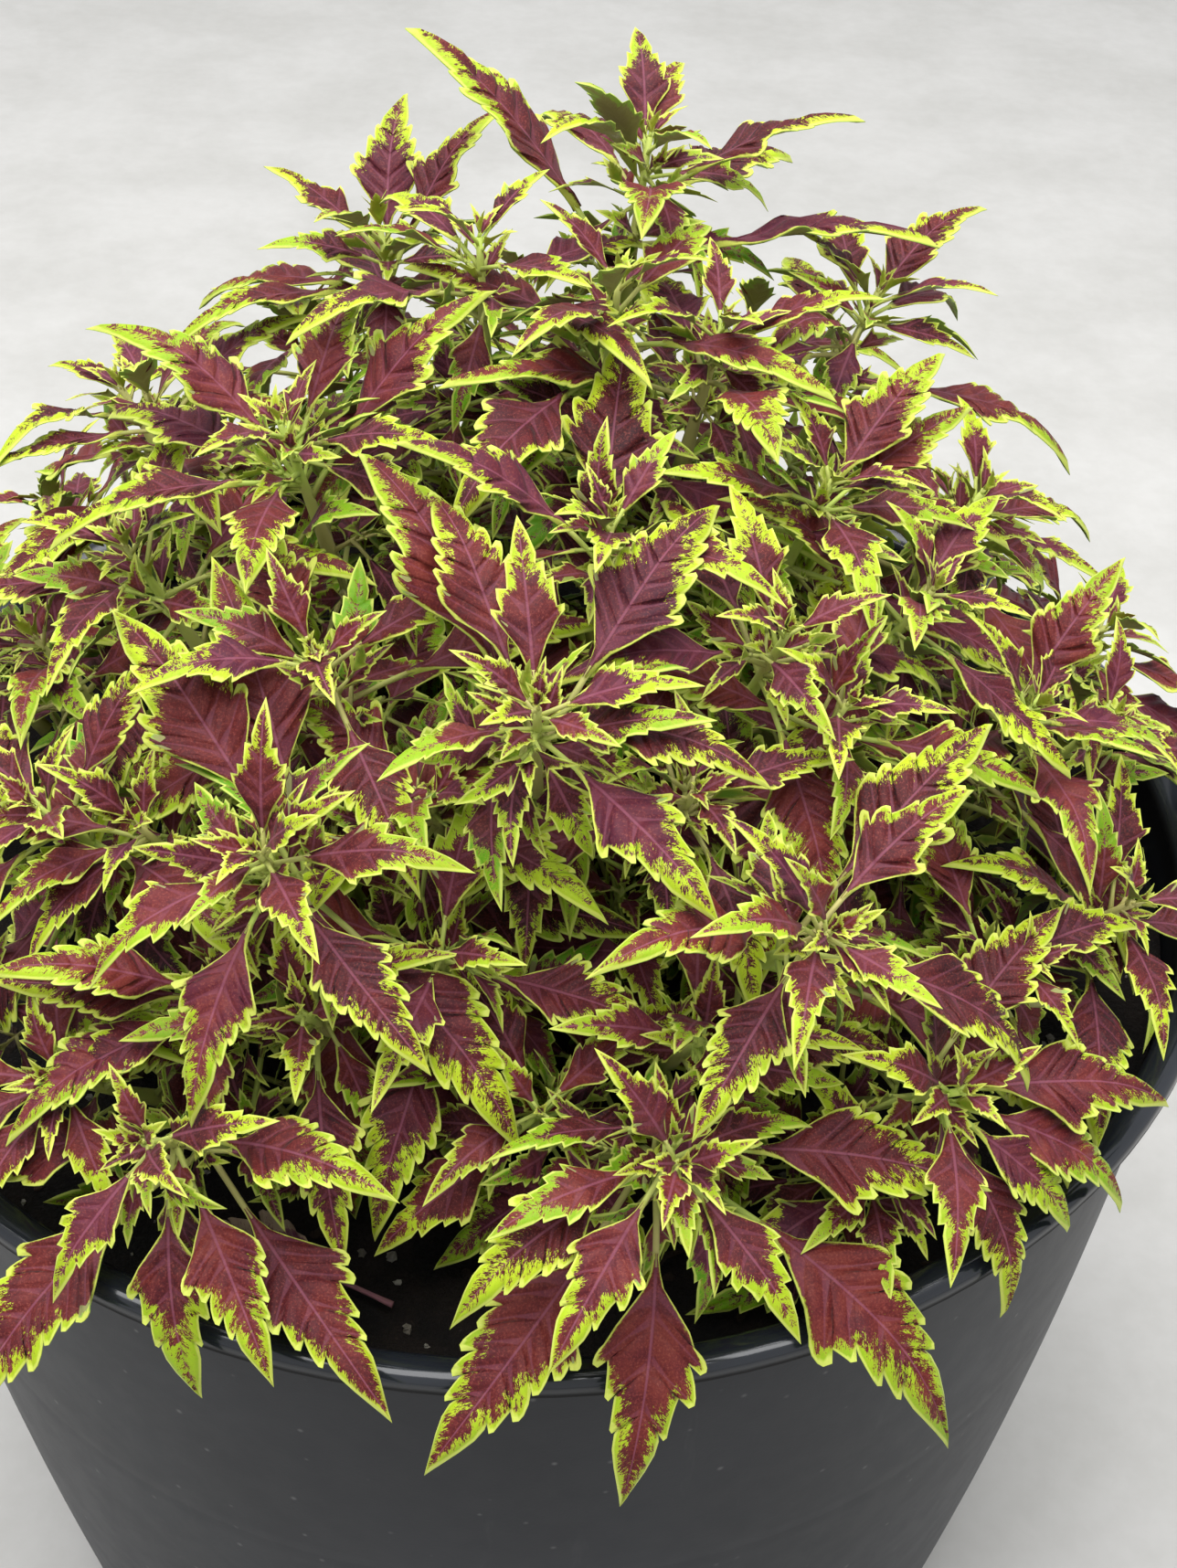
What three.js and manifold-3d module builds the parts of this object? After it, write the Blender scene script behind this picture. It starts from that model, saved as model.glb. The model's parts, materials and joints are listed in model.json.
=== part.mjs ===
// Potted coleus: a bushy foliage plant in a round planter.
//
// Millimetres, +Z up. The origin is the middle of the planter's flat underside.
// One branching stem stands in the potting mix. Each branch carries a leafy shoot, whose
// leaves grow in crossed pairs: the youngest at the crown, the oldest and longest below.

import * as THREE from 'three';
import { mergeVertices } from 'three/addons/utils/BufferGeometryUtils.js';
import Module from 'manifold-3d';

const wasm = await Module();
wasm.setup();

const UP = new THREE.Vector3(0, 0, 1);

// Planter
const RIM_RADIUS = 280;
const POT_HEIGHT = 400;
const WALL_TOP_RATIO = 0.97;      // wall radius just under the rim, over the rim radius
const WALL_TAPER = 0.05;          // straight part of the wall's taper
const WALL_BULGE = 0.043;         // curved part of the wall's taper
const WALL_LEVELS = [150, 290];   // heights between floor and rim where the wall's curve is followed
const WALL_THICKNESS = 5;
const FLOOR_THICKNESS = 7;
const LIP_DROP = 8;               // height of the rolled rim
const LIP_ROUND = [[1, 7], [0, 4.5], [1.2, 1.4], [4, 0], [11, 2.5]];   // [inset, drop] from the rim's edge
const DRAIN_RADIUS = 14;
const DRAIN_CIRCLE = 198;
const DRAIN_TURN = THREE.MathUtils.degToRad(73);
const DRAIN_COUNT = 4;
const DRAIN_SEGMENTS = 16;
const POT_SEGMENTS = 40;

// Potting mix
const SOIL_LEVEL = 368;
const SOIL_MOUND = 6;             // how much the mix rises from the wall to the stem
const MOUND_SHOULDER = 160;       // radius where the mound begins to fall away
const SHOULDER_RISE = 0.7;        // height of the mound there, over its full height
const FIT_GAP = 0.3;              // clearance between pieces that touch
const WALL_GAP = 0.7;             // clearance of the mix from the planter's faceted wall

// Stem and branches, square in section as on every coleus
const ROOTSTOCK_RADIUS = 17;
const ROOTSTOCK_DEPTH = 30;
const ROOTSTOCK_HEIGHT = 24;
const ROOTSTOCK_TAPER = 0.8;
const ROOTSTOCK_SIDES = 8;
const LIMB_COUNT = 8;
const LIMB_SPREAD = 62;
const LIMB_LEVEL = 412;
const LIMB_ELBOW = 0.6;           // where a limb turns upwards, over its spread
const LIMB_ELBOW_RISE = 8;
const LIMB_WIDTH = 10;
const TWIG_WIDTH = 6;
const BRANCH_STEPS = 2;
const TWIG_LEAD = 30;             // length over which a twig lines up with its shoot

// Shoots: the leafy end of each branch
const SHOOT_LENGTH = 66;
const SHOOT_TIP_RADIUS = 1.6;
const SHOOT_FOOT_RADIUS = 3.8;
const SHOOT_LEAN = THREE.MathUtils.degToRad(45);   // outward lean of a shoot at the edge
const PLANT_RADIUS = 270;

// Leaves, worked out from the length of the blade
const FULL_BLADE = 85;
const FULL_STALK = 42.5;
const FULL_NODE_DEPTH = 60;       // how far below the crown a full-grown leaf is attached
const LEAF_ASPECT = 0.46;
const BLADE_THICKNESS = 1.4;
const STALK_WIDTH = 2.6;
const WIDEST_AT = 0.4;
const LEAF_CUP = 0.16;
const LEAF_ARCH = 0.07;
const SMALL_BLADE = 58;
const FACE_LEAN = 0.6;            // how much a blade faces along its shoot instead of straight up
const LEAF_CLEARANCE = 0.5;
const LOWEST_RISE = -55;

// A leaf that would touch a neighbour is turned, raised or shortened until it clears it.
const LEAF_SHIFTS = [
  [0, 0, 1], [0, 7, 1], [0, -7, 1], [8, 0, 1], [-8, 0, 1], [0, 14, 1], [0, -14, 1],
  [12, 10, 0.95], [-12, 10, 0.95], [12, -12, 0.95], [-12, -12, 0.95],
  [0, 20, 0.85], [0, -20, 0.85], [18, 0, 0.8], [-18, 0, 0.8], [0, 28, 0.7], [0, 0, 0.6],
];

// Shoots whose leaves are placed one by one. at: the crown. leaves: [turn, rise, blade length],
// in degrees and millimetres, turn counted from +X.
const PLACED_SHOOTS = [
  { at: [-72, -192, 540], leaves: [
    [330, 50, 30], [245, 15, 20], [200, 30, 20], [350, 50, 35], [90, 65, 40], [295, 5, 40],
    [210, -15, 50], [345, 20, 50], [250, -35, 60], [310, -15, 60], [115, 40, 80], [135, 35, 80],
    [35, 15, 75], [320, -25, 75]] },
  { at: [58, -254, 478], leaves: [
    [345, 40, 25], [260, 10, 25], [170, 60, 40], [315, -25, 50], [240, -20, 55], [0, -5, 75],
    [215, -15, 60], [330, -25, 90], [265, -50, 75], [220, -35, 85]] },
  { at: [100, -207, 530], leaves: [
    [5, 45, 15], [190, 65, 30], [320, 0, 35], [220, 35, 45], [260, 0, 40], [40, 25, 55], [165, 55, 40],
    [45, 25, 75], [355, -25, 70], [215, 25, 60], [240, -25, 55], [5, -35, 90]] },
  { at: [-106, -240, 462], leaves: [
    [300, 20, 30], [190, 30, 15], [345, 45, 40], [230, -30, 45], [300, -25, 60], [335, 15, 60],
    [225, -40, 80], [310, -30, 75], [280, -60, 60], [175, -20, 65]] },
  { at: [11, -174, 585], leaves: [
    [65, 75, 15], [235, 25, 25], [100, 40, 50], [0, 20, 40], [340, 5, 55], [55, 30, 75], [125, 35, 85],
    [115, 30, 70], [230, 0, 60], [280, -10, 60]] },
  { at: [-84, -26, 590], leaves: [
    [155, 35, 70], [75, 35, 55], [40, 40, 70], [240, 20, 40], [335, 20, 50], [265, 5, 60], [150, 5, 65],
    [200, 0, 65]] },
  { at: [41, 108, 640], leaves: [
    [155, 45, 85], [95, 35, 50], [75, 25, 45], [230, 35, 50], [10, 25, 65], [0, 10, 80], [300, 30, 40],
    [120, 5, 65], [50, 0, 70], [270, 20, 60]] },
  { at: [-62, 106, 600], leaves: [
    [90, 40, 65], [145, 20, 50], [50, 45, 60], [160, -10, 65], [240, 35, 40], [300, 30, 50], [200, 0, 65],
    [110, 0, 75]] },
  { at: [107, -34, 580], leaves: [
    [50, 30, 65], [220, 45, 35], [200, 25, 50], [340, 15, 30], [285, 0, 50], [15, -10, 60], [40, 15, 60],
    [350, -20, 75], [130, 50, 30]] },
  { at: [131, 87, 590], leaves: [
    [100, 20, 50], [45, 30, 60], [45, -10, 50], [230, 10, 65], [240, 25, 60], [340, 20, 40], [150, 30, 35],
    [100, 0, 70], [5, -15, 75]] },
  { at: [31, -82, 590], leaves: [
    [85, 35, 75], [55, 35, 35], [240, 40, 35], [265, 5, 45], [330, 25, 50], [180, 30, 60]] },
  { at: [183, -67, 510], leaves: [
    [10, -10, 50], [290, -5, 55], [65, 20, 30], [25, -40, 85], [240, 15, 50], [45, 25, 60], [330, -35, 75],
    [150, 55, 35]] },
  { at: [149, -205, 460], leaves: [
    [10, -5, 70], [355, -25, 65], [345, -45, 55], [310, -60, 60], [65, 60, 45], [50, 20, 65],
    [270, -20, 50], [200, 40, 40]] },
];

// Shoots whose leaves follow the crossed-pair rule. twist turns the pairs, size scales them.
const RULED_SHOOTS = [
  { at: [-62, -198, 478], twist: 10, size: 0.85 },
  { at: [-19, -190, 500], twist: 75, size: 0.85 },
  { at: [-155, -135, 505], twist: 50, size: 1 },
  { at: [60, -150, 535], twist: 20, size: 0.8 },
  { at: [171, 25, 540], twist: 30, size: 1 },
  { at: [-183, -21, 490], twist: 100, size: 1 },
  { at: [31, 20, 625], twist: 60, size: 0.95 },
  { at: [128, -215, 425], twist: 35, size: 0.6 },
  { at: [225, -20, 470], twist: 15, size: 1 },
  { at: [-190, -160, 455], twist: 70, size: 1 },
  { at: [-150, 60, 550], twist: 20, size: 1 },
  { at: [-20, 50, 625], twist: 130, size: 0.9 },
  { at: [110, -115, 545], twist: 80, size: 0.85 },
  { at: [15, -215, 455], twist: 40, size: 0.7 },
  { at: [-63, -117, 560], twist: 25, size: 0.9 },
  { at: [89, -108, 568], twist: 110, size: 0.85 },
  { at: [142, -62, 555], twist: 60, size: 0.85 },
  { at: [68, 14, 612], twist: 15, size: 0.9 },
  { at: [-140, -38, 545], twist: 75, size: 0.95 },
  { at: [176, -145, 462], twist: 25, size: 0.85 },
  { at: [-24, -150, 530], twist: 50, size: 0.8 },
  { at: [224, -100, 448], twist: 95, size: 0.85 },
  { at: [66, -205, 480], twist: 0, size: 0.75 },
];

// Rings of ruled shoots where the plant is even all round.
const SHOOT_RINGS = [
  { count: 8, from: 14, to: 172, radius: 246, level: 456, size: 1 },
  { count: 4, from: 62, to: 152, radius: 188, level: 535, size: 1 },
  { count: 8, from: 18, to: 333, radius: 128, level: 466, size: 0.85 },
];

// Crossed pairs: blade length and angle from the shoot's own direction.
const PAIRS = [
  { blade: 36, angle: 56 },
  { blade: 55, angle: 74 },
  { blade: 68, angle: 88 },
  { blade: 76, angle: 98 },
];
const GOLDEN_ANGLE = 137.5;
const CROSSING = 90;

// Shed leaf lying on the mix
const SHED_AT = [-33, -231];
const SHED_TURN = 160;
const SHED_BLADE = 62;

const COLOURS = {
  planter: 0x3c3e42,
  mix: 0x1d1814,
  stem: 0x8a9a4a,
  leaf: 0x7c2a34,
  shed: 0x7a5a5c,
};

function finish(colour, roughness) {
  return new THREE.MeshStandardMaterial({ color: colour, roughness, metalness: 0 });
}

/** The solid enclosed by a closed geometry. */
function solidOf(geometry) {
  const bare = geometry.clone();
  bare.deleteAttribute('normal');
  bare.deleteAttribute('uv');
  const merged = mergeVertices(bare, 1e-4);
  const mesh = new wasm.Mesh({
    numProp: 3,
    vertProperties: Float32Array.from(merged.attributes.position.array),
    triVerts: Uint32Array.from(merged.index.array),
  });
  return new wasm.Manifold(mesh);
}

/** One solid of several that meet. Where they close round a void, the void is filled. */
function joined(solids) {
  const whole = solids.reduce((sum, next) => sum.add(next));
  return whole.decompose().reduce((best, next) => (next.volume() > best.volume() ? next : best));
}

/** A named mesh of a finished solid. */
function piece(name, solid, material) {
  const { vertProperties, triVerts } = solid.getMesh();
  const geometry = new THREE.BufferGeometry();
  geometry.setAttribute('position', new THREE.BufferAttribute(vertProperties, 3));
  geometry.setIndex(new THREE.BufferAttribute(triVerts, 1));
  geometry.computeVertexNormals();
  const mesh = new THREE.Mesh(geometry, material);
  mesh.name = name;
  return mesh;
}

/** A solid of revolution about Z from [radius, height] points. */
function turned(profile, segments = POT_SEGMENTS) {
  const points = profile.map(([radius, height]) => new THREE.Vector2(radius, height));
  const geometry = new THREE.LatheGeometry(points, segments);
  geometry.rotateX(Math.PI / 2);
  return solidOf(geometry);
}

/** Outer radius of the planter's wall at a height. */
function wallRadius(height) {
  const depth = (POT_HEIGHT - height) / RIM_RADIUS;
  return RIM_RADIUS * (WALL_TOP_RATIO - WALL_TAPER * depth - WALL_BULGE * depth * depth);
}

function makePlanter() {
  const outside = [0, ...WALL_LEVELS, POT_HEIGHT - LIP_DROP].map((level) => [wallRadius(level), level]);
  const lip = LIP_ROUND.map(([inset, drop]) => [RIM_RADIUS - inset, POT_HEIGHT - drop]);
  const inside = WALL_LEVELS.toReversed().map((level) => [wallRadius(level) - WALL_THICKNESS, level]);
  const floor = [[wallRadius(FLOOR_THICKNESS) - WALL_THICKNESS, FLOOR_THICKNESS], [0, FLOOR_THICKNESS]];
  let pot = turned([[0, 0], ...outside, ...lip, ...inside, ...floor]);
  for (let i = 0; i < DRAIN_COUNT; i += 1) {
    const turn = DRAIN_TURN + i * (2 * Math.PI / DRAIN_COUNT);
    const hole = new THREE.CylinderGeometry(DRAIN_RADIUS, DRAIN_RADIUS, 4 * FLOOR_THICKNESS, DRAIN_SEGMENTS);
    hole.rotateX(Math.PI / 2);
    hole.translate(DRAIN_CIRCLE * Math.cos(turn), DRAIN_CIRCLE * Math.sin(turn), 0);
    pot = pot.subtract(solidOf(hole));
  }
  return pot;
}

function rootstock(radius, depth, height) {
  const shape = new THREE.CylinderGeometry(radius * ROOTSTOCK_TAPER, radius, depth + height, ROOTSTOCK_SIDES);
  shape.rotateX(Math.PI / 2);
  shape.translate(0, 0, SOIL_LEVEL + (height - depth) / 2);
  return solidOf(shape);
}

function makeMix() {
  const bottom = FLOOR_THICKNESS + FIT_GAP;
  const inset = WALL_THICKNESS + WALL_GAP;
  const side = [bottom, ...WALL_LEVELS, SOIL_LEVEL].map((level) => [wallRadius(level) - inset, level]);
  const shoulder = [MOUND_SHOULDER, SOIL_LEVEL + SHOULDER_RISE * SOIL_MOUND];
  const heap = turned([[0, bottom], ...side, shoulder, [0, SOIL_LEVEL + SOIL_MOUND]]);
  return heap.subtract(rootstock(ROOTSTOCK_RADIUS + FIT_GAP, ROOTSTOCK_DEPTH + FIT_GAP, ROOTSTOCK_HEIGHT));
}

/** Unit vector from a turn about Z and a rise above the horizontal, in degrees. */
function heading(turn, rise) {
  const flat = new THREE.Vector3(1, 0, 0).applyAxisAngle(UP, THREE.MathUtils.degToRad(turn));
  return flat.multiplyScalar(Math.cos(THREE.MathUtils.degToRad(rise)))
    .addScaledVector(UP, Math.sin(THREE.MathUtils.degToRad(rise)));
}

/** A shoot leans outwards more the nearer it is to the plant's edge. */
function shootDirection(crown) {
  const radius = Math.hypot(crown.x, crown.y);
  const lean = SHOOT_LEAN * Math.min(1, radius / PLANT_RADIUS);
  const outward = new THREE.Vector3(crown.x, crown.y, 0).normalize();
  return outward.multiplyScalar(Math.sin(lean)).addScaledVector(UP, Math.cos(lean));
}

/** A square bar that follows a curve. */
function bar(curve, width) {
  const half = width / 2;
  const section = new THREE.Shape([
    new THREE.Vector2(-half, -half),
    new THREE.Vector2(half, -half),
    new THREE.Vector2(half, half),
    new THREE.Vector2(-half, half),
  ]);
  const course = { steps: BRANCH_STEPS, extrudePath: curve, bevelEnabled: false };
  return solidOf(new THREE.ExtrudeGeometry(section, course));
}

/** Closed leaf along +X from the origin: a stalk and a shallow cupped blade with a pointed tip. */
function leafGeometry(blade) {
  const stalk = FULL_STALK * (blade / FULL_BLADE) ** 2;
  const whole = stalk + blade;
  const arch = (along) => 4 * LEAF_ARCH * whole * (along / whole) * (1 - along / whole);
  const half = LEAF_ASPECT * blade / 2;
  const stations = [
    { along: stalk + WIDEST_AT * blade, half, thick: BLADE_THICKNESS / 2, cup: LEAF_CUP * half },
  ];
  if (blade >= SMALL_BLADE) {
    stations.unshift({ along: stalk, half: STALK_WIDTH / 2, thick: STALK_WIDTH / 2, cup: 0 });
  }
  const points = [0, 0, 0];
  for (const { along, half: side, thick, cup } of stations) {
    const lift = arch(along);
    points.push(along, side, lift + cup, along, 0, lift + thick);
    points.push(along, -side, lift + cup, along, 0, lift - thick);
  }
  points.push(whole, 0, 0);
  const last = points.length / 3 - 1;
  const faces = [];
  for (let i = 0; i < 4; i += 1) {
    const next = (i + 1) % 4;
    faces.push(0, 1 + next, 1 + i);
    for (let ring = 1; ring < stations.length; ring += 1) {
      const near = 1 + 4 * (ring - 1);
      const far = near + 4;
      faces.push(near + i, near + next, far + next, near + i, far + next, far + i);
    }
    const end = 1 + 4 * (stations.length - 1);
    faces.push(end + i, end + next, last);
  }
  const geometry = new THREE.BufferGeometry();
  geometry.setAttribute('position', new THREE.Float32BufferAttribute(points, 3));
  geometry.setIndex(faces);
  return geometry;
}

/** One leaf of a shoot, given its heading and blade length. */
function leafSolid(crown, direction, turn, rise, blade) {
  const along = heading(turn, rise);
  const face = UP.clone().addScaledVector(direction, FACE_LEAN);
  face.addScaledVector(along, -face.dot(along)).normalize();
  const across = new THREE.Vector3().crossVectors(face, along);
  const depth = Math.min(FULL_NODE_DEPTH, FULL_NODE_DEPTH * (blade / FULL_BLADE) ** 3);
  const root = crown.clone().addScaledVector(direction, -depth);
  const placing = new THREE.Matrix4().makeBasis(along, across, face).setPosition(root);
  return solidOf(leafGeometry(blade).applyMatrix4(placing));
}

/** Leaf list of a shoot that follows the crossed-pair rule. */
function pairedLeaves(direction, twist, size) {
  const side = new THREE.Vector3().crossVectors(direction, new THREE.Vector3(1, 0, 0)).normalize();
  const leaves = [];
  PAIRS.forEach(({ blade, angle }, order) => {
    for (const half of [0, 180]) {
      const spin = THREE.MathUtils.degToRad(twist + order * CROSSING + half);
      const outward = side.clone().applyAxisAngle(direction, spin);
      const bend = THREE.MathUtils.degToRad(angle);
      const along = direction.clone().multiplyScalar(Math.cos(bend)).addScaledVector(outward, Math.sin(bend));
      const rise = THREE.MathUtils.radToDeg(Math.asin(along.z));
      const turn = THREE.MathUtils.radToDeg(Math.atan2(along.y, along.x));
      leaves.push([turn, Math.max(LOWEST_RISE, rise), blade * size]);
    }
  });
  return leaves;
}

/** Every shoot of the plant: its crown, direction and wanted leaves. */
function planShoots() {
  const plans = PLACED_SHOOTS.map(({ at, leaves }) => ({ at, leaves, size: 1 }));
  plans.push(...RULED_SHOOTS);
  for (const { count, from, to, radius, level, size } of SHOOT_RINGS) {
    for (let i = 0; i < count; i += 1) {
      const turn = THREE.MathUtils.degToRad(from + i * (to - from) / (count - 1));
      const at = [radius * Math.cos(turn), radius * Math.sin(turn), level];
      plans.push({ at, twist: i * GOLDEN_ANGLE, size });
    }
  }
  return plans.map(({ at, leaves, twist, size }) => {
    const crown = new THREE.Vector3(...at);
    const direction = shootDirection(crown);
    const length = SHOOT_LENGTH * size;
    const foot = crown.clone().addScaledVector(direction, -length);
    return { crown, direction, length, foot, leaves: leaves ?? pairedLeaves(direction, twist, size) };
  });
}

function makeBranches(shoots) {
  const solids = [rootstock(ROOTSTOCK_RADIUS, ROOTSTOCK_DEPTH, ROOTSTOCK_HEIGHT)];
  const start = new THREE.Vector3(0, 0, SOIL_LEVEL + ROOTSTOCK_HEIGHT / 2);
  const limbEnds = [];
  for (let i = 0; i < LIMB_COUNT; i += 1) {
    const turn = i * 2 * Math.PI / LIMB_COUNT;
    const end = new THREE.Vector3(LIMB_SPREAD * Math.cos(turn), LIMB_SPREAD * Math.sin(turn), LIMB_LEVEL);
    const elbow = new THREE.Vector3(LIMB_ELBOW * end.x, LIMB_ELBOW * end.y, start.z + LIMB_ELBOW_RISE);
    limbEnds.push(end);
    solids.push(bar(new THREE.QuadraticBezierCurve3(start, elbow, end), LIMB_WIDTH));
  }
  for (const { foot, direction } of shoots) {
    const from = limbEnds.reduce((best, end) => (end.distanceTo(foot) < best.distanceTo(foot) ? end : best));
    const end = foot.clone().addScaledVector(direction, -FIT_GAP);
    const lead = end.clone().addScaledVector(direction, -TWIG_LEAD);
    solids.push(bar(new THREE.QuadraticBezierCurve3(from, lead, end), TWIG_WIDTH));
  }
  return joined(solids);
}

/** The bare axis of a shoot, square and tapering, from its foot to its crown. */
function shootAxis({ crown, direction, length }) {
  const axis = new THREE.CylinderGeometry(SHOOT_TIP_RADIUS, SHOOT_FOOT_RADIUS, length, 4);
  axis.applyQuaternion(new THREE.Quaternion().setFromUnitVectors(new THREE.Vector3(0, 1, 0), direction));
  const middle = crown.clone().addScaledVector(direction, -length / 2);
  axis.translate(middle.x, middle.y, middle.z);
  return solidOf(axis);
}

function boxOf(solid) {
  const { min, max } = solid.boundingBox();
  return new THREE.Box3(new THREE.Vector3(...min), new THREE.Vector3(...max));
}

function isClear(solid, others) {
  const reach = boxOf(solid).expandByScalar(LEAF_CLEARANCE);
  return others.every(({ box, solid: other }) => (
    !reach.intersectsBox(box) || other.minGap(solid, LEAF_CLEARANCE) >= LEAF_CLEARANCE));
}

/** Adds each shoot's leaves, oldest first, keeping them clear of everything of other shoots. */
function growShoots(shoots, surroundings) {
  const axes = shoots.map((shoot) => {
    const solid = shootAxis(shoot);
    return { solid, box: boxOf(solid), shoot };
  });
  const grown = [];
  return shoots.map((shoot) => {
    const others = [...surroundings, ...grown, ...axes.filter((axis) => axis.shoot !== shoot)];
    const own = [axes.find((axis) => axis.shoot === shoot).solid];
    for (const [turn, rise, blade] of shoot.leaves) {
      for (const [turned, raised, scaled] of LEAF_SHIFTS) {
        const leaf = leafSolid(shoot.crown, shoot.direction, turn + turned, rise + raised, blade * scaled);
        if (isClear(leaf, others)) {
          own.push(leaf);
          grown.push({ solid: leaf, box: boxOf(leaf) });
          break;
        }
      }
    }
    return joined(own);
  });
}

/** The shed leaf, underside up, lowered until it rests on the mix. */
function makeShedLeaf(mix) {
  const [x, y] = SHED_AT;
  const level = SOIL_LEVEL + 2 * SOIL_MOUND;
  const geometry = leafGeometry(SHED_BLADE);
  geometry.scale(1, 1, -1);
  geometry.index.array.reverse();
  geometry.rotateZ(THREE.MathUtils.degToRad(SHED_TURN));
  geometry.computeBoundingBox();
  geometry.translate(x, y, level - geometry.boundingBox.min.z);
  const raised = solidOf(geometry);
  return raised.translate(0, 0, FIT_GAP - raised.minGap(mix, level));
}

const shoots = planShoots();
const planter = makePlanter();
const mix = makeMix();
const branches = makeBranches(shoots);
const shedLeaf = makeShedLeaf(mix);
const surroundings = [planter, mix, branches, shedLeaf].map((solid) => ({ solid, box: boxOf(solid) }));

const coleus = new THREE.Group();
coleus.add(piece('planter', planter, finish(COLOURS.planter, 0.55)));
coleus.add(piece('potting_mix', mix, finish(COLOURS.mix, 1)));
coleus.add(piece('branching_stem', branches, finish(COLOURS.stem, 0.6)));
coleus.add(piece('shed_leaf', shedLeaf, finish(COLOURS.shed, 0.7)));
growShoots(shoots, surroundings).forEach((solid, i) => {
  const name = `shoot_${String(i + 1).padStart(2, '0')}`;
  coleus.add(piece(name, solid, finish(COLOURS.leaf, 0.6)));
});

export default coleus;
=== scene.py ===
"""Potted coleus: the looks of a bushy foliage plant and its planter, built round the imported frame.

Metres, +Z up, origin in the middle of the planter's flat underside. Leaves are planned in millimetres.
"""

import json
import logging
import math
import random
from dataclasses import dataclass, fields, replace
from enum import Enum

import bpy
import numpy as np
from mathutils import Matrix, Vector, noise

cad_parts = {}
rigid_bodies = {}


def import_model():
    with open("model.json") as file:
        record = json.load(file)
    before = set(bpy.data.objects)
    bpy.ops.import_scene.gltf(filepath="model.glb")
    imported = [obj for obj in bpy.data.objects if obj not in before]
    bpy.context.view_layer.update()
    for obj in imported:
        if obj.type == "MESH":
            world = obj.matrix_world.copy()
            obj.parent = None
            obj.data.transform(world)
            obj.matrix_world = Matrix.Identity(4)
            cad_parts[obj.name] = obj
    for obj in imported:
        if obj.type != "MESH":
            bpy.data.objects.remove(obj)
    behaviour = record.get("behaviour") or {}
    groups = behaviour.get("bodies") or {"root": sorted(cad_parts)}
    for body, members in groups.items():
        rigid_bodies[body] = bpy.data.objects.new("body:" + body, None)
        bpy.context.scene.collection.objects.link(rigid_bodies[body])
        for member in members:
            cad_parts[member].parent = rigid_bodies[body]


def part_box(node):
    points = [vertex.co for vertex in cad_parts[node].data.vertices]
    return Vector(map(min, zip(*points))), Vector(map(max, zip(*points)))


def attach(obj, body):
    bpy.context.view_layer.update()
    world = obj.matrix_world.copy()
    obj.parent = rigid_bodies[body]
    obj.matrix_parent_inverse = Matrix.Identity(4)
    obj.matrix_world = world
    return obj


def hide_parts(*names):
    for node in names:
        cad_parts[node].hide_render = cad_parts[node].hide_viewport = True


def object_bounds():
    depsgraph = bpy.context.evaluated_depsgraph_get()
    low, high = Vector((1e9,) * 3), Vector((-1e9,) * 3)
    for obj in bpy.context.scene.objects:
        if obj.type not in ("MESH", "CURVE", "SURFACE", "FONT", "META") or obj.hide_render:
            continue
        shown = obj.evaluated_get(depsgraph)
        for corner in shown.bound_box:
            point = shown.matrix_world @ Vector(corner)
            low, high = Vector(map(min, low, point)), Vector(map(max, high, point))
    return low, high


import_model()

MM = 0.001
UP = Vector((0, 0, 1))
BODY = "root"
FRAME_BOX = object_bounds()

Rgb = tuple[int, int, int]
Triple = tuple[float, float, float]
Pair = tuple[float, float]
Mesh, Material, Collection = bpy.types.Mesh, bpy.types.Material, bpy.types.Collection

log = logging.getLogger("coleus")


# ------------------------------------------------------------------ meshes and pieces


def make_mesh(name: str, points: object, faces: object = (), edges: object = (),
              smooth: bool = False) -> Mesh:
    """A mesh of given points.

    Args:
        name: Its name.
        points: The places of its points.
        faces: The points of each face.
        edges: The points of each loose edge.
        smooth: Whether its faces are shaded smooth.

    Returns:
        The mesh.
    """
    made = bpy.data.meshes.new(name)
    made.from_pydata([tuple(point) for point in points], edges, faces)
    if smooth:
        made.polygons.foreach_set("use_smooth", [True] * len(made.polygons))
    return made


def write(mesh: Mesh, key: str, kind: str, values: object, domain: str = "POINT") -> None:
    """Stores an attribute on a mesh.

    Args:
        mesh: The mesh.
        key: The attribute's name.
        kind: FLOAT, FLOAT_VECTOR, INT or BOOLEAN.
        values: Its value at each point or edge.
        domain: POINT or EDGE.
    """
    data = mesh.attributes.new(key, kind, domain).data
    if kind == "FLOAT_VECTOR":
        data.foreach_set("vector", np.ravel(values))
    else:
        data.foreach_set("value", values)


def ring_faces(rings: list[list[int]], flip: bool = False) -> list[tuple[int, ...]]:
    """The faces between successive rings of points.

    Args:
        rings: The points of each ring, or the one point of a pole.
        flip: Whether the faces are turned round.

    Returns:
        The points of each face.
    """
    faces = []
    for near, far in zip(rings, rings[1:]):
        count = max(len(near), len(far))
        for i in range(count):
            j = (i + 1) % count
            quad = (near[i % len(near)], near[j % len(near)], far[j % len(far)], far[i % len(far)])
            faces.append(tuple(dict.fromkeys(quad[:1] + quad[:0:-1] if flip else quad)))
    return faces


def srgb(colour: Rgb) -> tuple[float, ...]:
    """The linear colour of an sRGB triple of 0 to 255."""
    shares = [value / 255 for value in colour]
    return (*(s / 12.92 if s <= 0.04045 else ((s + 0.055) / 1.055) ** 2.4 for s in shares), 1.0)


def place(thing: object, name: str) -> bpy.types.Object:
    """Puts a mesh, lamp or camera in the scene.

    Args:
        thing: The mesh, lamp or camera.
        name: The name of the object that shows it.

    Returns:
        The object, at the origin.
    """
    made = bpy.data.objects.new(name, thing)
    bpy.context.scene.collection.objects.link(made)
    return made


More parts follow.
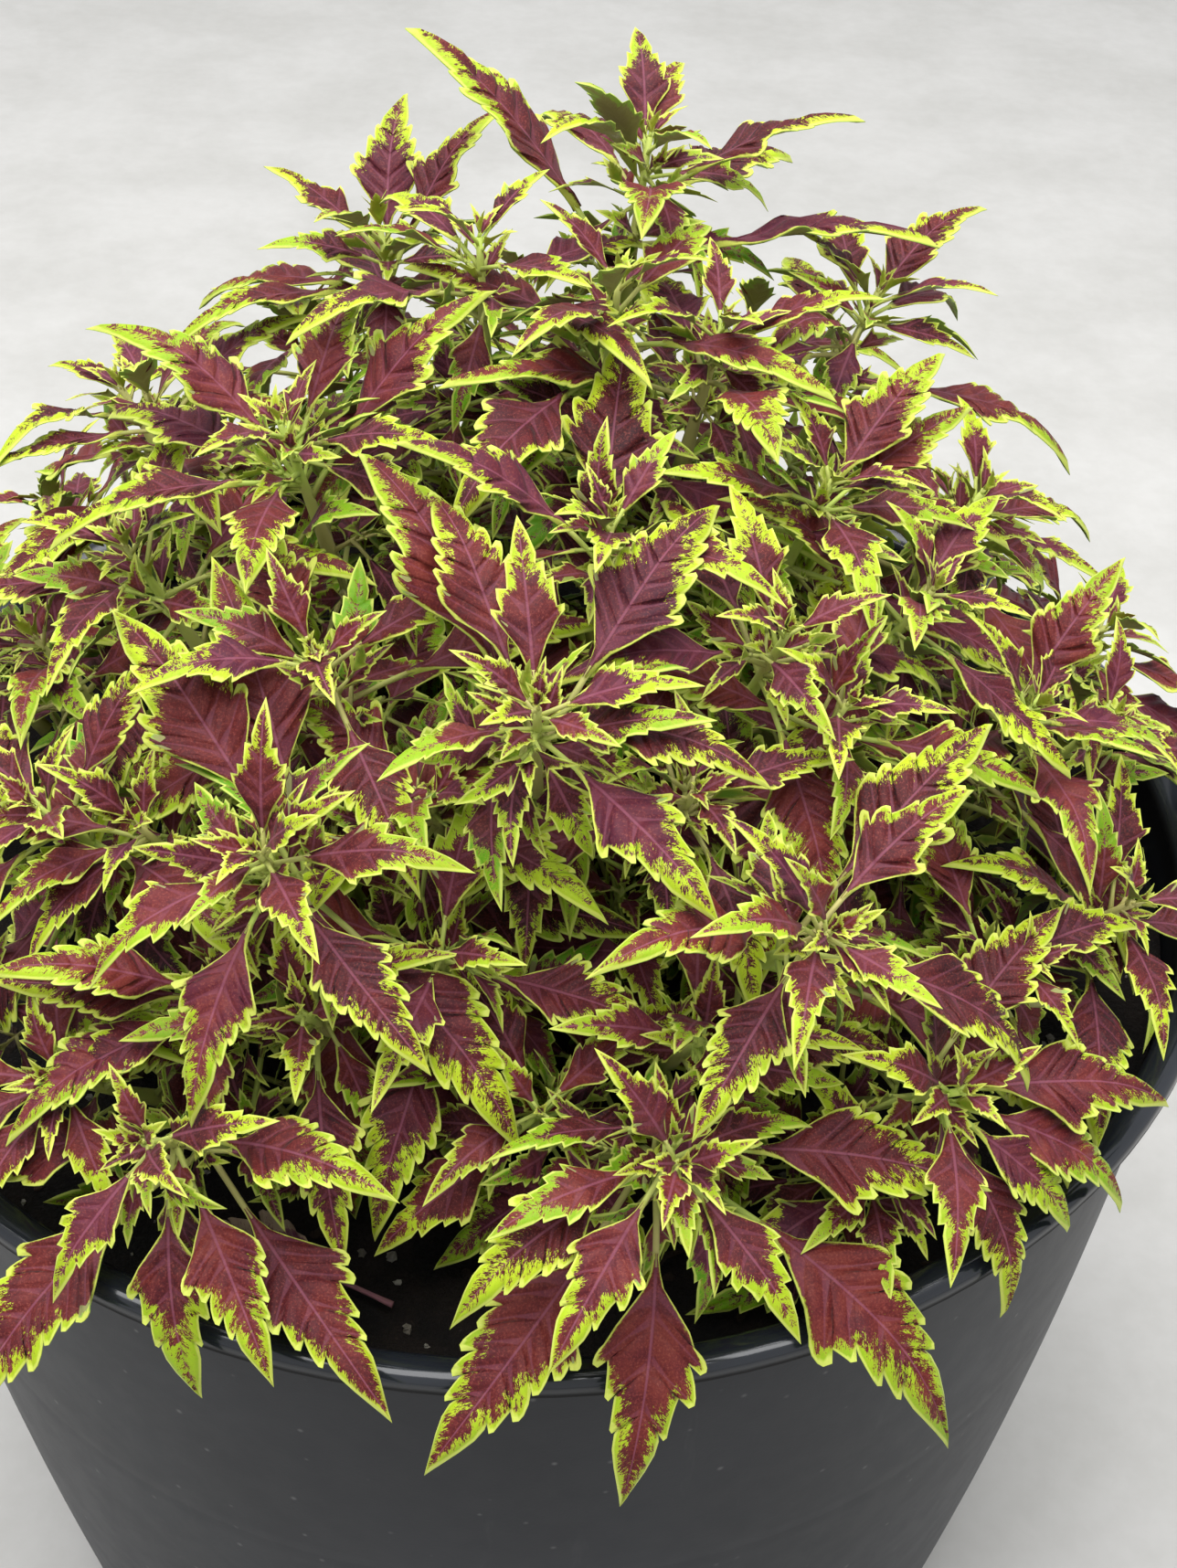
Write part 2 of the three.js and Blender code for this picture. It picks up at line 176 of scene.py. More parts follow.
def take_mesh(host: bpy.types.Object) -> Mesh:
    """Replaces an object that has modifiers by their result.

    Args:
        host: The object, which is removed.

    Returns:
        The result, as a plain mesh.
    """
    depsgraph = bpy.context.evaluated_depsgraph_get()
    depsgraph.update()
    made = bpy.data.meshes.new_from_object(host.evaluated_get(depsgraph))
    host.modifiers.clear()
    bpy.data.objects.remove(host)
    return made


def adopt(piece: bpy.types.Object, slot: str, *nodes: str) -> None:
    """Fits a finished piece to the frame.

    Args:
        piece: The piece.
        slot: The record's material slot; not used.
        nodes: The CAD nodes that it stands for.
    """
    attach(piece, BODY)
    if nodes:
        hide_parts(*nodes)
    triangles = sum(len(face.vertices) - 2 for face in piece.data.polygons)
    log.info("%s: %d triangles, stands for %s", piece.name, triangles, ", ".join(nodes) or "nothing")


def clear_away(shapes: Collection) -> None:
    """Removes a collection of shapes, which no piece needs once it is a plain mesh.

    Args:
        shapes: The collection.
    """
    for shape in list(shapes.objects):
        bpy.data.objects.remove(shape)
    bpy.data.collections.remove(shapes)


# ------------------------------------------------------------------ node graphs


class Field:
    """A value or vector in a node tree, which ordinary arithmetic extends with nodes."""

    def __init__(self, graph: "Graph", socket: bpy.types.NodeSocket, is_vector: bool = False) -> None:
        """Keeps the socket that carries the value.

        Args:
            graph: The graph that new nodes are added to.
            socket: The output socket.
            is_vector: Whether the socket carries a vector.
        """
        self.graph = graph
        self.socket = socket
        self.is_vector = is_vector

    def _join(self, operation: str, other: object, swap: bool = False) -> "Field":
        """The node that joins this field and another one.

        Args:
            operation: ADD, SUBTRACT, MULTIPLY, DIVIDE or POWER.
            other: A field or a number.
            swap: Whether other comes first.

        Returns:
            The result.
        """
        pair = (other, self) if swap else (self, other)
        other_is_vector = isinstance(other, Field) and other.is_vector
        if not (self.is_vector or other_is_vector):
            return self.graph.math(operation, *pair)
        if operation == "MULTIPLY" and not (self.is_vector and other_is_vector):
            vector, factor = (self, other) if self.is_vector else (other, self)
            return self.graph.vector("SCALE", vector, Scale=factor)
        return self.graph.vector(operation, *pair)

    def __add__(self, other: object) -> "Field":
        """Sum."""
        return self._join("ADD", other)

    def __radd__(self, other: object) -> "Field":
        """Sum."""
        return self._join("ADD", other, True)

    def __sub__(self, other: object) -> "Field":
        """Difference."""
        return self._join("SUBTRACT", other)

    def __rsub__(self, other: object) -> "Field":
        """Difference."""
        return self._join("SUBTRACT", other, True)

    def __mul__(self, other: object) -> "Field":
        """Product."""
        return self._join("MULTIPLY", other)

    def __truediv__(self, other: object) -> "Field":
        """Quotient."""
        return self._join("DIVIDE", other)

    def __pow__(self, other: object) -> "Field":
        """Power."""
        return self._join("POWER", other)

    def call(self, operation: str, *others: object) -> "Field":
        """A math operation on this field, such as SINE, ABSOLUTE, MINIMUM or MAXIMUM."""
        return self.graph.math(operation, self, *others)

    def step(self, low: object, high: object, to_low: object = 0.0, to_high: object = 1.0) -> "Field":
        """A smooth step of this field, from to_low at low to to_high at high."""
        feeds = dict(enumerate((self, low, high, to_low, to_high)))
        return self.graph.made("ShaderNodeMapRange", feeds, interpolation_type="SMOOTHSTEP")

    def part(self, index: int) -> "Field":
        """The X, Y or Z of a vector field, by index."""
        return Field(self.graph, self.graph.wire("ShaderNodeSeparateXYZ", {0: self}).outputs[index])


class Graph:
    """Adds nodes to one tree and wires them."""

    def __init__(self, tree: bpy.types.NodeTree) -> None:
        """Keeps the tree."""
        self.tree = tree

    def feed(self, socket: bpy.types.NodeSocket, value: object) -> None:
        """Links a field or an output to a socket, or sets the socket's own value.

        Args:
            socket: The input socket.
            value: A field, an output socket or a constant.
        """
        if isinstance(value, Field):
            value = value.socket
        if isinstance(value, bpy.types.NodeSocket):
            self.tree.links.new(value, socket)
        else:
            socket.default_value = value

    def wire(self, kind: str, feeds: dict[object, object], **settings: object) -> bpy.types.Node:
        """A new node with its inputs fed.

        Args:
            kind: The node's type name.
            feeds: Names or numbers of inputs, and what feeds them.
            settings: Attributes to set on it first.

        Returns:
            The node.
        """
        made = self.tree.nodes.new(kind)
        for key, value in settings.items():
            setattr(made, key, value)
        for key, value in feeds.items():
            self.feed(made.inputs[key], value)
        return made

    def made(self, kind: str, feeds: dict[object, object], **settings: object) -> Field:
        """The first output of a new node, as a value; the arguments are those of wire."""
        return Field(self, self.wire(kind, feeds, **settings).outputs[0])

    def math(self, operation: str, *operands: object) -> Field:
        """A scalar operation on fields or numbers."""
        return self.made("ShaderNodeMath", dict(enumerate(operands)), operation=operation)

    def vector(self, operation: str, *operands: object, **feeds: object) -> Field:
        """A vector operation on fields or tuples, of which SCALE has the input Scale too."""
        feeds = {**dict(enumerate(operands)), **feeds}
        return Field(self, self.wire("ShaderNodeVectorMath", feeds, operation=operation).outputs[0], True)

    def pack(self, x: object, y: object, z: object) -> Field:
        """A vector field of three values."""
        return Field(self, self.wire("ShaderNodeCombineXYZ", {0: x, 1: y, 2: z}).outputs[0], True)

    def noise(self, vector: object, scale: object, detail: float = 3.0, rough: float = 0.55) -> Field:
        """A noise value of about 0.3 to 0.7, with as many octaves as detail, of strength rough."""
        feeds = {"Vector": vector, "Scale": scale, "Detail": detail, "Roughness": rough}
        return self.made("ShaderNodeTexNoise", feeds)


class GeometryGraph(Graph):
    """A Geometry Nodes tree with named inputs, which turns a source mesh into a plain mesh."""

    SOCKETS = {
        float: "NodeSocketFloat",
        int: "NodeSocketInt",
        Collection: "NodeSocketCollection",
        Material: "NodeSocketMaterial",
    }

    def __init__(self, name: str, inputs: dict[str, type]) -> None:
        """Starts the tree.

        Args:
            name: The tree's name.
            inputs: Names and types of the inputs after Geometry.
        """
        super().__init__(bpy.data.node_groups.new(name, "GeometryNodeTree"))
        face = self.tree.interface
        for in_out in ("INPUT", "OUTPUT"):
            face.new_socket("Geometry", in_out=in_out, socket_type="NodeSocketGeometry")
        self.keys = {
            key: face.new_socket(key, in_out="INPUT", socket_type=self.SOCKETS[kind]).identifier
            for key, kind in inputs.items()
        }
        self.source = self.wire("NodeGroupInput", {})
        self.sink = self.wire("NodeGroupOutput", {})

    def given(self, key: str) -> Field:
        """One of the tree's inputs."""
        return Field(self, self.source.outputs[key])

    def named(self, key: str, kind: str = "FLOAT") -> Field:
        """A named FLOAT, INT or FLOAT_VECTOR attribute of the geometry."""
        made = self.wire("GeometryNodeInputNamedAttribute", {"Name": key}, data_type=kind)
        return Field(self, made.outputs["Attribute"], kind == "FLOAT_VECTOR")

    def store(self, geometry: object, key: str, value: Field) -> Field:
        """Stores a field on the points of a geometry.

        Args:
            geometry: The geometry.
            key: The attribute's name.
            value: What is stored.

        Returns:
            The geometry with the attribute.
        """
        kind = "FLOAT_VECTOR" if value.is_vector else "FLOAT"
        feeds = {"Geometry": geometry, "Name": key, "Value": value}
        return self.made("GeometryNodeStoreNamedAttribute", feeds, data_type=kind, domain="POINT")

    def instances(self, points: object, shapes: str, index: object, **feeds: object) -> Field:
        """Puts a shape of a collection on each point.

        Args:
            points: The points.
            shapes: The name of the input that gives the collection.
            index: The number of the shape at each point.
            feeds: Other inputs of Instance on Points.

        Returns:
            The instances.
        """
        picked = {"Collection": self.given(shapes), "Separate Children": True, "Reset Children": True}
        source = self.made("GeometryNodeCollectionInfo", picked)
        fed = {"Points": points, "Instance": source, "Pick Instance": True, "Instance Index": index}
        return self.made("GeometryNodeInstanceOnPoints", {**fed, **feeds})

    def end(self, geometry: object) -> None:
        """Ends the tree with Realize Instances and Set Material.

        Args:
            geometry: The finished geometry.
        """
        real = self.made("GeometryNodeRealizeInstances", {"Geometry": geometry})
        feeds = {"Geometry": real, "Material": self.given("Material")}
        self.feed(self.sink.inputs[0], self.made("GeometryNodeSetMaterial", feeds))

    def bake(self, source: Mesh, name: str, values: dict[str, object]) -> bpy.types.Object:
        """Runs the tree on a mesh.

        Args:
            source: The mesh that the tree starts from.
            name: The name of the piece.
            values: The tree's inputs by name.

        Returns:
            The piece, a plain mesh object at the origin.
        """
        host = place(source, name + "_source")
        modifier = host.modifiers.new("Build", "NODES")
        modifier.node_group = self.tree
        for key, value in values.items():
            modifier[self.keys[key]] = value
        made = take_mesh(host)
        made.name = name
        return place(made, name)


class SharedEffect:
    """A shader effect that several materials use, as one node group of values."""

    def __init__(self, name: str, vector: str, values: tuple[str, ...], outputs: tuple[str, ...]) -> None:
        """Starts the group.

        Args:
            name: The group's name.
            vector: The name of its vector input.
            values: The names of its other inputs.
            outputs: The names of its outputs.
        """
        self.tree = bpy.data.node_groups.new(name, "ShaderNodeTree")
        self.vector = vector
        sockets = [("INPUT", vector, "Vector"), *(("INPUT", key, "Float") for key in values)]
        for in_out, key, kind in (*sockets, *(("OUTPUT", key, "Float") for key in outputs)):
            self.tree.interface.new_socket(key, in_out=in_out, socket_type="NodeSocket" + kind)
        self.graph = Graph(self.tree)
        self.source = self.graph.wire("NodeGroupInput", {})
        self.sink = self.graph.wire("NodeGroupOutput", {})

    def given(self, key: str) -> Field:
        """One of the group's inputs."""
        return Field(self.graph, self.source.outputs[key], key == self.vector)

    def give(self, key: str, value: Field) -> None:
        """Feeds one of the group's outputs."""
        self.graph.feed(self.sink.inputs[key], value)


class ShaderGraph(Graph):
    """A material's node tree with one Principled BSDF."""

    def __init__(self, name: str, **constants: object) -> None:
        """Starts the material.

        Args:
            name: The material's name.
            constants: Values of the shader's own sockets, by name with underscores.
        """
        self.material = bpy.data.materials.new(name)
        self.material.use_nodes = True
        super().__init__(self.material.node_tree)
        self.tree.nodes.clear()
        self.shader = self.wire("ShaderNodeBsdfPrincipled", {})
        self.wire("ShaderNodeOutputMaterial", {0: self.shader.outputs[0]})
        for key, value in constants.items():
            self.shader.inputs[key.replace("_", " ").title().replace("Ior", "IOR")].default_value = value

    def place(self) -> Field:
        """Object coordinates, in metres."""
        return Field(self, self.wire("ShaderNodeTexCoord", {}).outputs["Object"], True)

    def attribute(self, key: str, is_vector: bool = False) -> Field:
        """A named attribute of the mesh."""
        made = self.wire("ShaderNodeAttribute", {}, attribute_name=key)
        return Field(self, made.outputs["Vector" if is_vector else "Fac"], is_vector)

    def group(self, shared: SharedEffect, **feeds: object) -> dict[str, Field]:
        """Places a shared effect with its inputs fed, and gives its outputs by name."""
        made = self.wire("ShaderNodeGroup", feeds, node_tree=shared.tree)
        return {out.name: Field(self, out) for out in made.outputs}

    def blend(self, factor: object, first: object, second: object) -> Field:
        """A colour between two colours.

        Args:
            factor: 0 for the first colour, 1 for the second.
            first: A colour field or an sRGB triple of 0 to 255.
            second: A colour field or an sRGB triple of 0 to 255.

        Returns:
            The blended colour.
        """
        made = self.wire("ShaderNodeMix", {"Factor": factor}, data_type="RGBA", clamp_factor=True)
        for key, colour in (("A_Color", first), ("B_Color", second)):
            socket = next(each for each in made.inputs if each.identifier == key)
            self.feed(socket, colour if isinstance(colour, Field) else srgb(colour))
        return Field(self, next(each for each in made.outputs if each.identifier == "Result_Color"))

    def bump(self, height: Field, depth: float, strength: float = 1.0) -> None:
        """Feeds the shader's normal from a height of 0 to 1 that stands out by depth, in metres."""
        made = self.made("ShaderNodeBump", {"Height": height, "Distance": depth, "Strength": strength})
        self.feed(self.shader.inputs["Normal"], made)

    def finish(self, colour: Field, roughness: Field) -> Material:
        """Feeds the shader's colour and roughness.

        Args:
            colour: The base colour.
            roughness: The roughness.

        Returns:
            The material.
        """
        self.feed(self.shader.inputs["Base Color"], colour)
        self.feed(self.shader.inputs["Roughness"], roughness)
        return self.material


# ------------------------------------------------------------------ shared effects


class Mottle(SharedEffect):
    """Uneven tone at two scales, with fine specks: outputs Broad, Fine and Speck, from 0 to 1."""

    FINER = 9.0
    CELLS = 14.0
    SCATTER = 7.31

    def __init__(self) -> None:
        """Builds the group."""
        super().__init__("Mottle", "Vector", ("Scale",), ("Broad", "Fine", "Speck"))
        graph, at, scale = self.graph, self.given("Vector"), self.given("Scale")
        self.give("Broad", graph.noise(at, scale).step(0.34, 0.66))
        self.give("Fine", graph.noise(at, scale * self.FINER, 4.0, 0.65).step(0.3, 0.7))
        cells = graph.wire("ShaderNodeTexVoronoi", {"Vector": at, "Scale": scale * self.CELLS})
        size = graph.math("FRACT", Field(graph, cells.outputs["Color"]) * self.SCATTER)
        spot = Field(graph, cells.outputs["Distance"]).step(size * 0.16 + 0.02, 0.0)
        self.give("Speck", spot * size.step(0.6, 0.7))

    def on(self, graph: ShaderGraph, scale: float) -> dict[str, Field]:
        """Its outputs in a material, in object coordinates."""
        return graph.group(self, Vector=graph.place(), Scale=scale)


class LeafPattern(SharedEffect):
    """Where a blade is dark or lime, and its veins.

    Leaf holds the millimetres along and across the blade and a number of its own for each leaf. Margin is
    the distance to the edge, Lime the width of the pale band, Blade the length, and Rib and Notch are the
    distances to a side vein and to a notch, all in millimetres. Centre is 1 in the dark middle, Ragged in
    the speckled border, Vein on a vein, Rim along the edge. Blotch, Grain and Height vary over the blade.
    """

    VALUES = ("Margin", "Lime", "Blade", "Rib", "Notch")
    # Scale per millimetre, octaves and their strength.
    BROAD = (0.2, 1.0)
    CLUSTER = (0.42, 2.0, 0.6)
    FLECK = (1.9, 3.0, 0.75)
    BLOTCH = (0.085, 3.0)
    GRAIN = (1.3, 4.0, 0.75)
    FLECK_SLANT = 0.9
    FLECK_STRETCH = 0.62

    def __init__(self) -> None:
        """Builds the group."""
        outputs = ("Centre", "Ragged", "Vein", "Blotch", "Rim", "Height", "Grain")
        super().__init__("Leaf pattern", "Leaf", self.VALUES, outputs)
        graph, leaf = self.graph, self.given("Leaf")
        margin, lime, blade, rib, notch = (self.given(key) for key in self.VALUES)
        along, own = leaf.part(0), leaf.part(2)
        across = leaf.part(1).call("ABSOLUTE")
        share = along / blade
        # Flecks and their clusters slant forwards with the side veins.
        slanted = graph.pack(along - across * self.FLECK_SLANT, leaf.part(1) * self.FLECK_STRETCH, own * 61.0)
        flat = graph.pack(along, leaf.part(1), own * 37.0)
        broad = graph.noise(flat, *self.BROAD)
        cluster = graph.noise(slanted, *self.CLUSTER)
        fleck = graph.noise(slanted, *self.FLECK)
        # The band is narrow at the base and at the tip, and the dark middle runs out to the notches.
        band = lime * share.step(0.3, 0.6, 0.16, 1.0) * share.step(0.7, 0.95, 1.0, 0.5)
        band = band * (notch / blade).step(0.008, 0.042, 0.2, 1.1)
        uneven = (broad - 0.5) * 5.0 + (cluster - 0.5) * 7.0 + (fleck - 0.5) * 11.0
        uneven = uneven * margin.step(0.3, 1.8, 0.3, 1.0)
        inside = margin - band + uneven * (band * 0.5 + 0.1)
        self.give("Centre", inside.step(-0.25, 0.25) * margin.step(0.15, 0.6))
        self.give("Ragged", inside.call("ABSOLUTE").step(1.5, 0.1))
        midrib = across.step(share.step(0.0, 1.0, 0.85, 0.25), 0.15)
        side_vein = rib.step(0.45, 0.1) * across.step(0.2, 1.5)
        self.give("Vein", midrib.call("MAXIMUM", side_vein * 0.4))
        self.give("Blotch", graph.noise(flat, *self.BLOTCH).step(0.36, 0.64))
        # The Rim mark is where the leaf finish paints a thin pale highlight along the very edge.
        self.give("Rim", margin.step(0.8, 0.25))
        quilt = rib.step(0.0, 1.5) * across.step(0.0, 1.5)
        self.give("Height", quilt * 0.6 + cluster * 0.7 + fleck * 0.4)
        self.give("Grain", graph.noise(flat, *self.GRAIN).step(0.32, 0.68))

    def on(self, graph: ShaderGraph) -> dict[str, Field]:
        """Its outputs in a material, fed with the mesh's attributes."""
        feeds = {key: graph.attribute(key.lower()) for key in self.VALUES}
        return graph.group(self, Leaf=graph.attribute("leaf", True), **feeds)


# ------------------------------------------------------------------ finishes


@dataclass(frozen=True)
class LeafFinish:
    """The living leaf: burgundy middle, ragged lime margin, purple veins, paler underneath."""

    pattern: LeafPattern
    mottle: Mottle
    dark: Rgb = (40, 9, 15)
    wine: Rgb = (101, 27, 29)
    violet: Rgb = (88, 27, 53)
    rust: Rgb = (128, 56, 40)
    # Painted highlight: the colour of small glints on the velvety surface.
    glint: Rgb = (166, 98, 84)
    lime: Rgb = (187, 207, 36)
    green: Rgb = (94, 148, 8)
    yellow: Rgb = (188, 180, 56)
    # Painted highlight: the thin pale line along the blade's edge.
    rim: Rgb = (221, 226, 112)
    vein: Rgb = (142, 78, 96)
    under_green: Rgb = (148, 184, 78)
    under_wine: Rgb = (146, 98, 100)
    stalk: Rgb = (188, 208, 96)
    stalk_flush: Rgb = (176, 142, 112)
    young_blade: Pair = (34.0, 18.0)
    relief: float = 0.5 * MM

    def build(self) -> Material:
        """Builds the shader.

        Returns:
            The material.
        """
        graph = ShaderGraph(
            "Leaf", sheen_weight=0.05, sheen_roughness=0.45, specular_ior_level=0.32, ior=1.42
        )
        tone, under, stalk, shade = (graph.attribute(key) for key in ("tone", "under", "petiole", "shade"))
        marks, tones = self.pattern.on(graph), self.mottle.on(graph, 22.0)
        plum = graph.attribute("leaf", True).part(2).step(0.55, 1.0)
        # Shade, how deep inside the plant a leaf sits, darkens the wine: painted shade.
        lift = marks["Blotch"] * 0.3 + marks["Grain"] * 0.6 + tone * 0.5 - plum * 0.12 - shade * 0.35 - 0.05
        wine = graph.blend(lift, self.dark, self.wine)
        wine = graph.blend(tones["Broad"] * 0.12 + marks["Vein"] * 0.35 + plum * 0.55, wine, self.violet)
        warm = (tones["Broad"] * 0.2 + tone * tone * 0.7) * marks["Blotch"] * (marks["Grain"] * 0.6 + 0.3)
        wine = graph.blend(warm, wine, self.rust)
        # The brightest grain specks take the glint colour: painted highlights.
        wine = graph.blend(marks["Grain"].step(0.7, 1.0) * 0.26, wine, self.glint)
        # Shade also turns the lime greener and darker: painted shade.
        dull = tones["Broad"] * 0.3 + tone * tone * 0.35 + marks["Grain"] * 0.12 + shade * 0.7
        pale = graph.blend(dull, self.lime, self.green)
        pale = graph.blend(marks["Ragged"] * 0.45, pale, self.yellow)
        # Painted highlight along the very edge of the blade.
        pale = graph.blend(marks["Rim"] * 0.65, pale, self.rim)
        top = graph.blend(marks["Centre"], pale, wine)
        top = graph.blend(marks["Vein"] * marks["Centre"] * 0.6, top, self.vein)
        below = graph.blend(marks["Centre"] * 0.55, self.under_green, self.under_wine)
        young = graph.attribute("blade").step(*self.young_blade)
        blade = graph.blend(under, top, graph.blend(young * 0.8, below, pale))
        stem = graph.blend(tones["Broad"] * 0.6, self.stalk, self.stalk_flush)
        graph.bump(marks["Height"] * (1.0 - stalk), self.relief, 0.75)
        rough = marks["Centre"] * 0.08 + tones["Fine"] * 0.1 + 0.42
        return graph.finish(graph.blend(stalk, blade, stem), rough)


@dataclass(frozen=True)
class StemFinish:
    """Fresh green stems, flushed with purple and woody near the mix."""

    mottle: Mottle
    green: Rgb = (170, 196, 88)
    purple: Rgb = (140, 98, 88)
    wood: Rgb = (122, 98, 66)
    wood_levels: Pair = (0.425, 0.385)

    def build(self) -> Material:
        """Builds the shader.

        Returns:
            The material.
        """
        graph = ShaderGraph("Stem", specular_ior_level=0.4)
        tones = self.mottle.on(graph, 34.0)
        colour = graph.blend(tones["Broad"] * 0.55, self.green, self.purple)
        colour = graph.blend(graph.place().part(2).step(*self.wood_levels), colour, self.wood)
        graph.bump(tones["Fine"], 0.4 * MM, 0.6)
        return graph.finish(colour, tones["Fine"] * 0.15 + 0.5)


@dataclass(frozen=True)
class PlanterFinish:
    """Dusty charcoal plastic: smoother, glossier on the rolled rim, scuffed on the wall, painted shade under
    it.
    """

    mottle: Mottle
    wall: Rgb = (19, 22, 29)
    wall_dust: Rgb = (33, 36, 43)
    speck: Rgb = (150, 150, 148)
    rim: Rgb = (32, 35, 41)
    # Painted shade: the dark colour of the wall under the rim and of the rim's lower roll.
    fold: Rgb = (12, 12, 14)
    # Heights in metres between which the rim, its gloss and the painted shade on the wall under the rim
    # begin.
    rim_levels: Pair = (0.3914, 0.3924)
    gloss_levels: Pair = (0.394, 0.397)
    fold_levels: Pair = (0.376, 0.386)

    def build(self) -> Material:
        """Builds the shader.

        Returns:
            The material.
        """
        graph = ShaderGraph("Charcoal plastic", specular_ior_level=0.24, coat_roughness=0.14)
        at, tones = graph.place(), self.mottle.on(graph, 7.0)
        scuffs = graph.noise(graph.vector("MULTIPLY", at, (1.0, 1.0, 0.16)), 60.0, 4.0, 0.7).step(0.6, 0.74)
        levels = (self.rim_levels, self.gloss_levels, self.fold_levels)
        rim, gloss, fold = (at.part(2).step(*level) for level in levels)
        dust_and_shade = graph.blend(tones["Broad"] * 0.55 + tones["Fine"] * 0.06, self.wall, self.wall_dust)
        dust_and_shade = graph.blend(tones["Speck"] * 0.3, dust_and_shade, self.speck)
        dust_and_shade = graph.blend(scuffs * 0.035, dust_and_shade, self.speck)
        # Painted shade darkens the wall just under the rim.
        dust_and_shade = graph.blend(fold * 0.85, dust_and_shade, self.fold)
        # The rim's lower roll, below its gloss, takes the painted shade colour.
        colour = graph.blend(rim, dust_and_shade, graph.blend(gloss, self.fold, self.rim))
        graph.bump(graph.noise(at, 900.0, 2.0) + tones["Fine"] * 0.3, 0.08 * MM, 0.3)
        graph.feed(graph.shader.inputs["Coat Weight"], gloss * 0.7)
        return graph.finish(colour, rim * 0.36 - gloss * 0.62 + tones["Fine"] * 0.04 + 0.42)


@dataclass(frozen=True)
class MixFinish:
    """Moist potting mix: near-black peat with brown bark."""

    mottle: Mottle
    peat: Rgb = (18, 15, 13)
    bark: Rgb = (44, 34, 28)
    fibre: Rgb = (78, 64, 50)

    def build(self) -> Material:
        """Builds the shader.

        Returns:
            The material.
        """
        graph = ShaderGraph("Potting mix", specular_ior_level=0.3)
        tones = self.mottle.on(graph, 60.0)
        colour = graph.blend(tones["Broad"] * 0.6, self.peat, self.bark)
        colour = graph.blend(tones["Speck"] * 0.7, colour, self.fibre)
        graph.bump(tones["Fine"] + tones["Broad"], 1.5 * MM)
        return graph.finish(colour, tones["Fine"] * 0.2 + 0.7)


@dataclass(frozen=True)
class CrumbFinish:
    """What lies loose on the mix: dark bark chips and white perlite, told apart by an attribute."""

    mottle: Mottle
    bark: Rgb = (36, 28, 23)
    bark_light: Rgb = (66, 51, 40)
    perlite: Rgb = (176, 172, 160)
    perlite_stain: Rgb = (100, 91, 78)

    def build(self) -> Material:
        """Builds the shader.

        Returns:
            The material.
        """
        graph = ShaderGraph("Bark and perlite", specular_ior_level=0.3)
        tones = self.mottle.on(graph, 90.0)
        bark = graph.blend(tones["Broad"], self.bark, self.bark_light)
        perlite = graph.blend(tones["Broad"] * 0.8, self.perlite, self.perlite_stain)
        graph.bump(tones["Fine"], 0.6 * MM)
        colour = graph.blend(graph.attribute("pale"), bark, perlite)
        return graph.finish(colour, tones["Fine"] * 0.15 + 0.72)


@dataclass(frozen=True)
class ShedLeafFinish:
    """A faded leaf, dull purple with beige and pink."""

    pattern: LeafPattern
    mottle: Mottle
    purple: Rgb = (96, 44, 72)
    pink: Rgb = (150, 96, 108)
    beige: Rgb = (176, 156, 128)

    def build(self) -> Material:
        """Builds the shader.

        Returns:
            The material.
        """
        graph = ShaderGraph("Faded leaf", specular_ior_level=0.25)
        marks, tones = self.pattern.on(graph), self.mottle.on(graph, 30.0)
        colour = graph.blend(tones["Broad"], self.purple, self.pink)
        colour = graph.blend((1.0 - marks["Centre"]) * 0.7 + tones["Fine"] * 0.2, colour, self.beige)
        colour = graph.blend(marks["Vein"] * 0.6, colour, self.beige)
        graph.bump(marks["Height"], 0.4 * MM)
        return graph.finish(colour, tones["Fine"] * 0.15 + 0.6)


@dataclass(frozen=True)
class FloorFinish:
    """Pale paving under the planter."""

    mottle: Mottle
    light: Rgb = (202, 200, 196)
    shade: Rgb = (188, 186, 181)

    def build(self) -> Material:
        """Builds the shader.

        Returns:
            The material.
        """
        graph = ShaderGraph("Pale floor", specular_ior_level=0.2)
        tones = self.mottle.on(graph, 6.0)
        colour = graph.blend(tones["Broad"] * 0.6 + tones["Fine"] * 0.3, self.light, self.shade)
        return graph.finish(colour, tones["Fine"] * 0.1 + 0.75)


# ------------------------------------------------------------------ leaf shapes


class Detail(Enum):
    """How finely a leaf is modelled: columns to a side above and below, stalk sides and stalk rings."""

    FINE = (3, 2, 6, 4)
    PLAIN = (2, 1, 5, 3)
    SMALL = (1, 1, 3, 2)


class Mark(Enum):
    """What a margin point is: a plain one, the end of a side vein, or the bottom of a notch."""

    EDGE = 0
    VEIN = 1
    NOTCH = 2


MarginPoint = tuple[float, float, Mark]


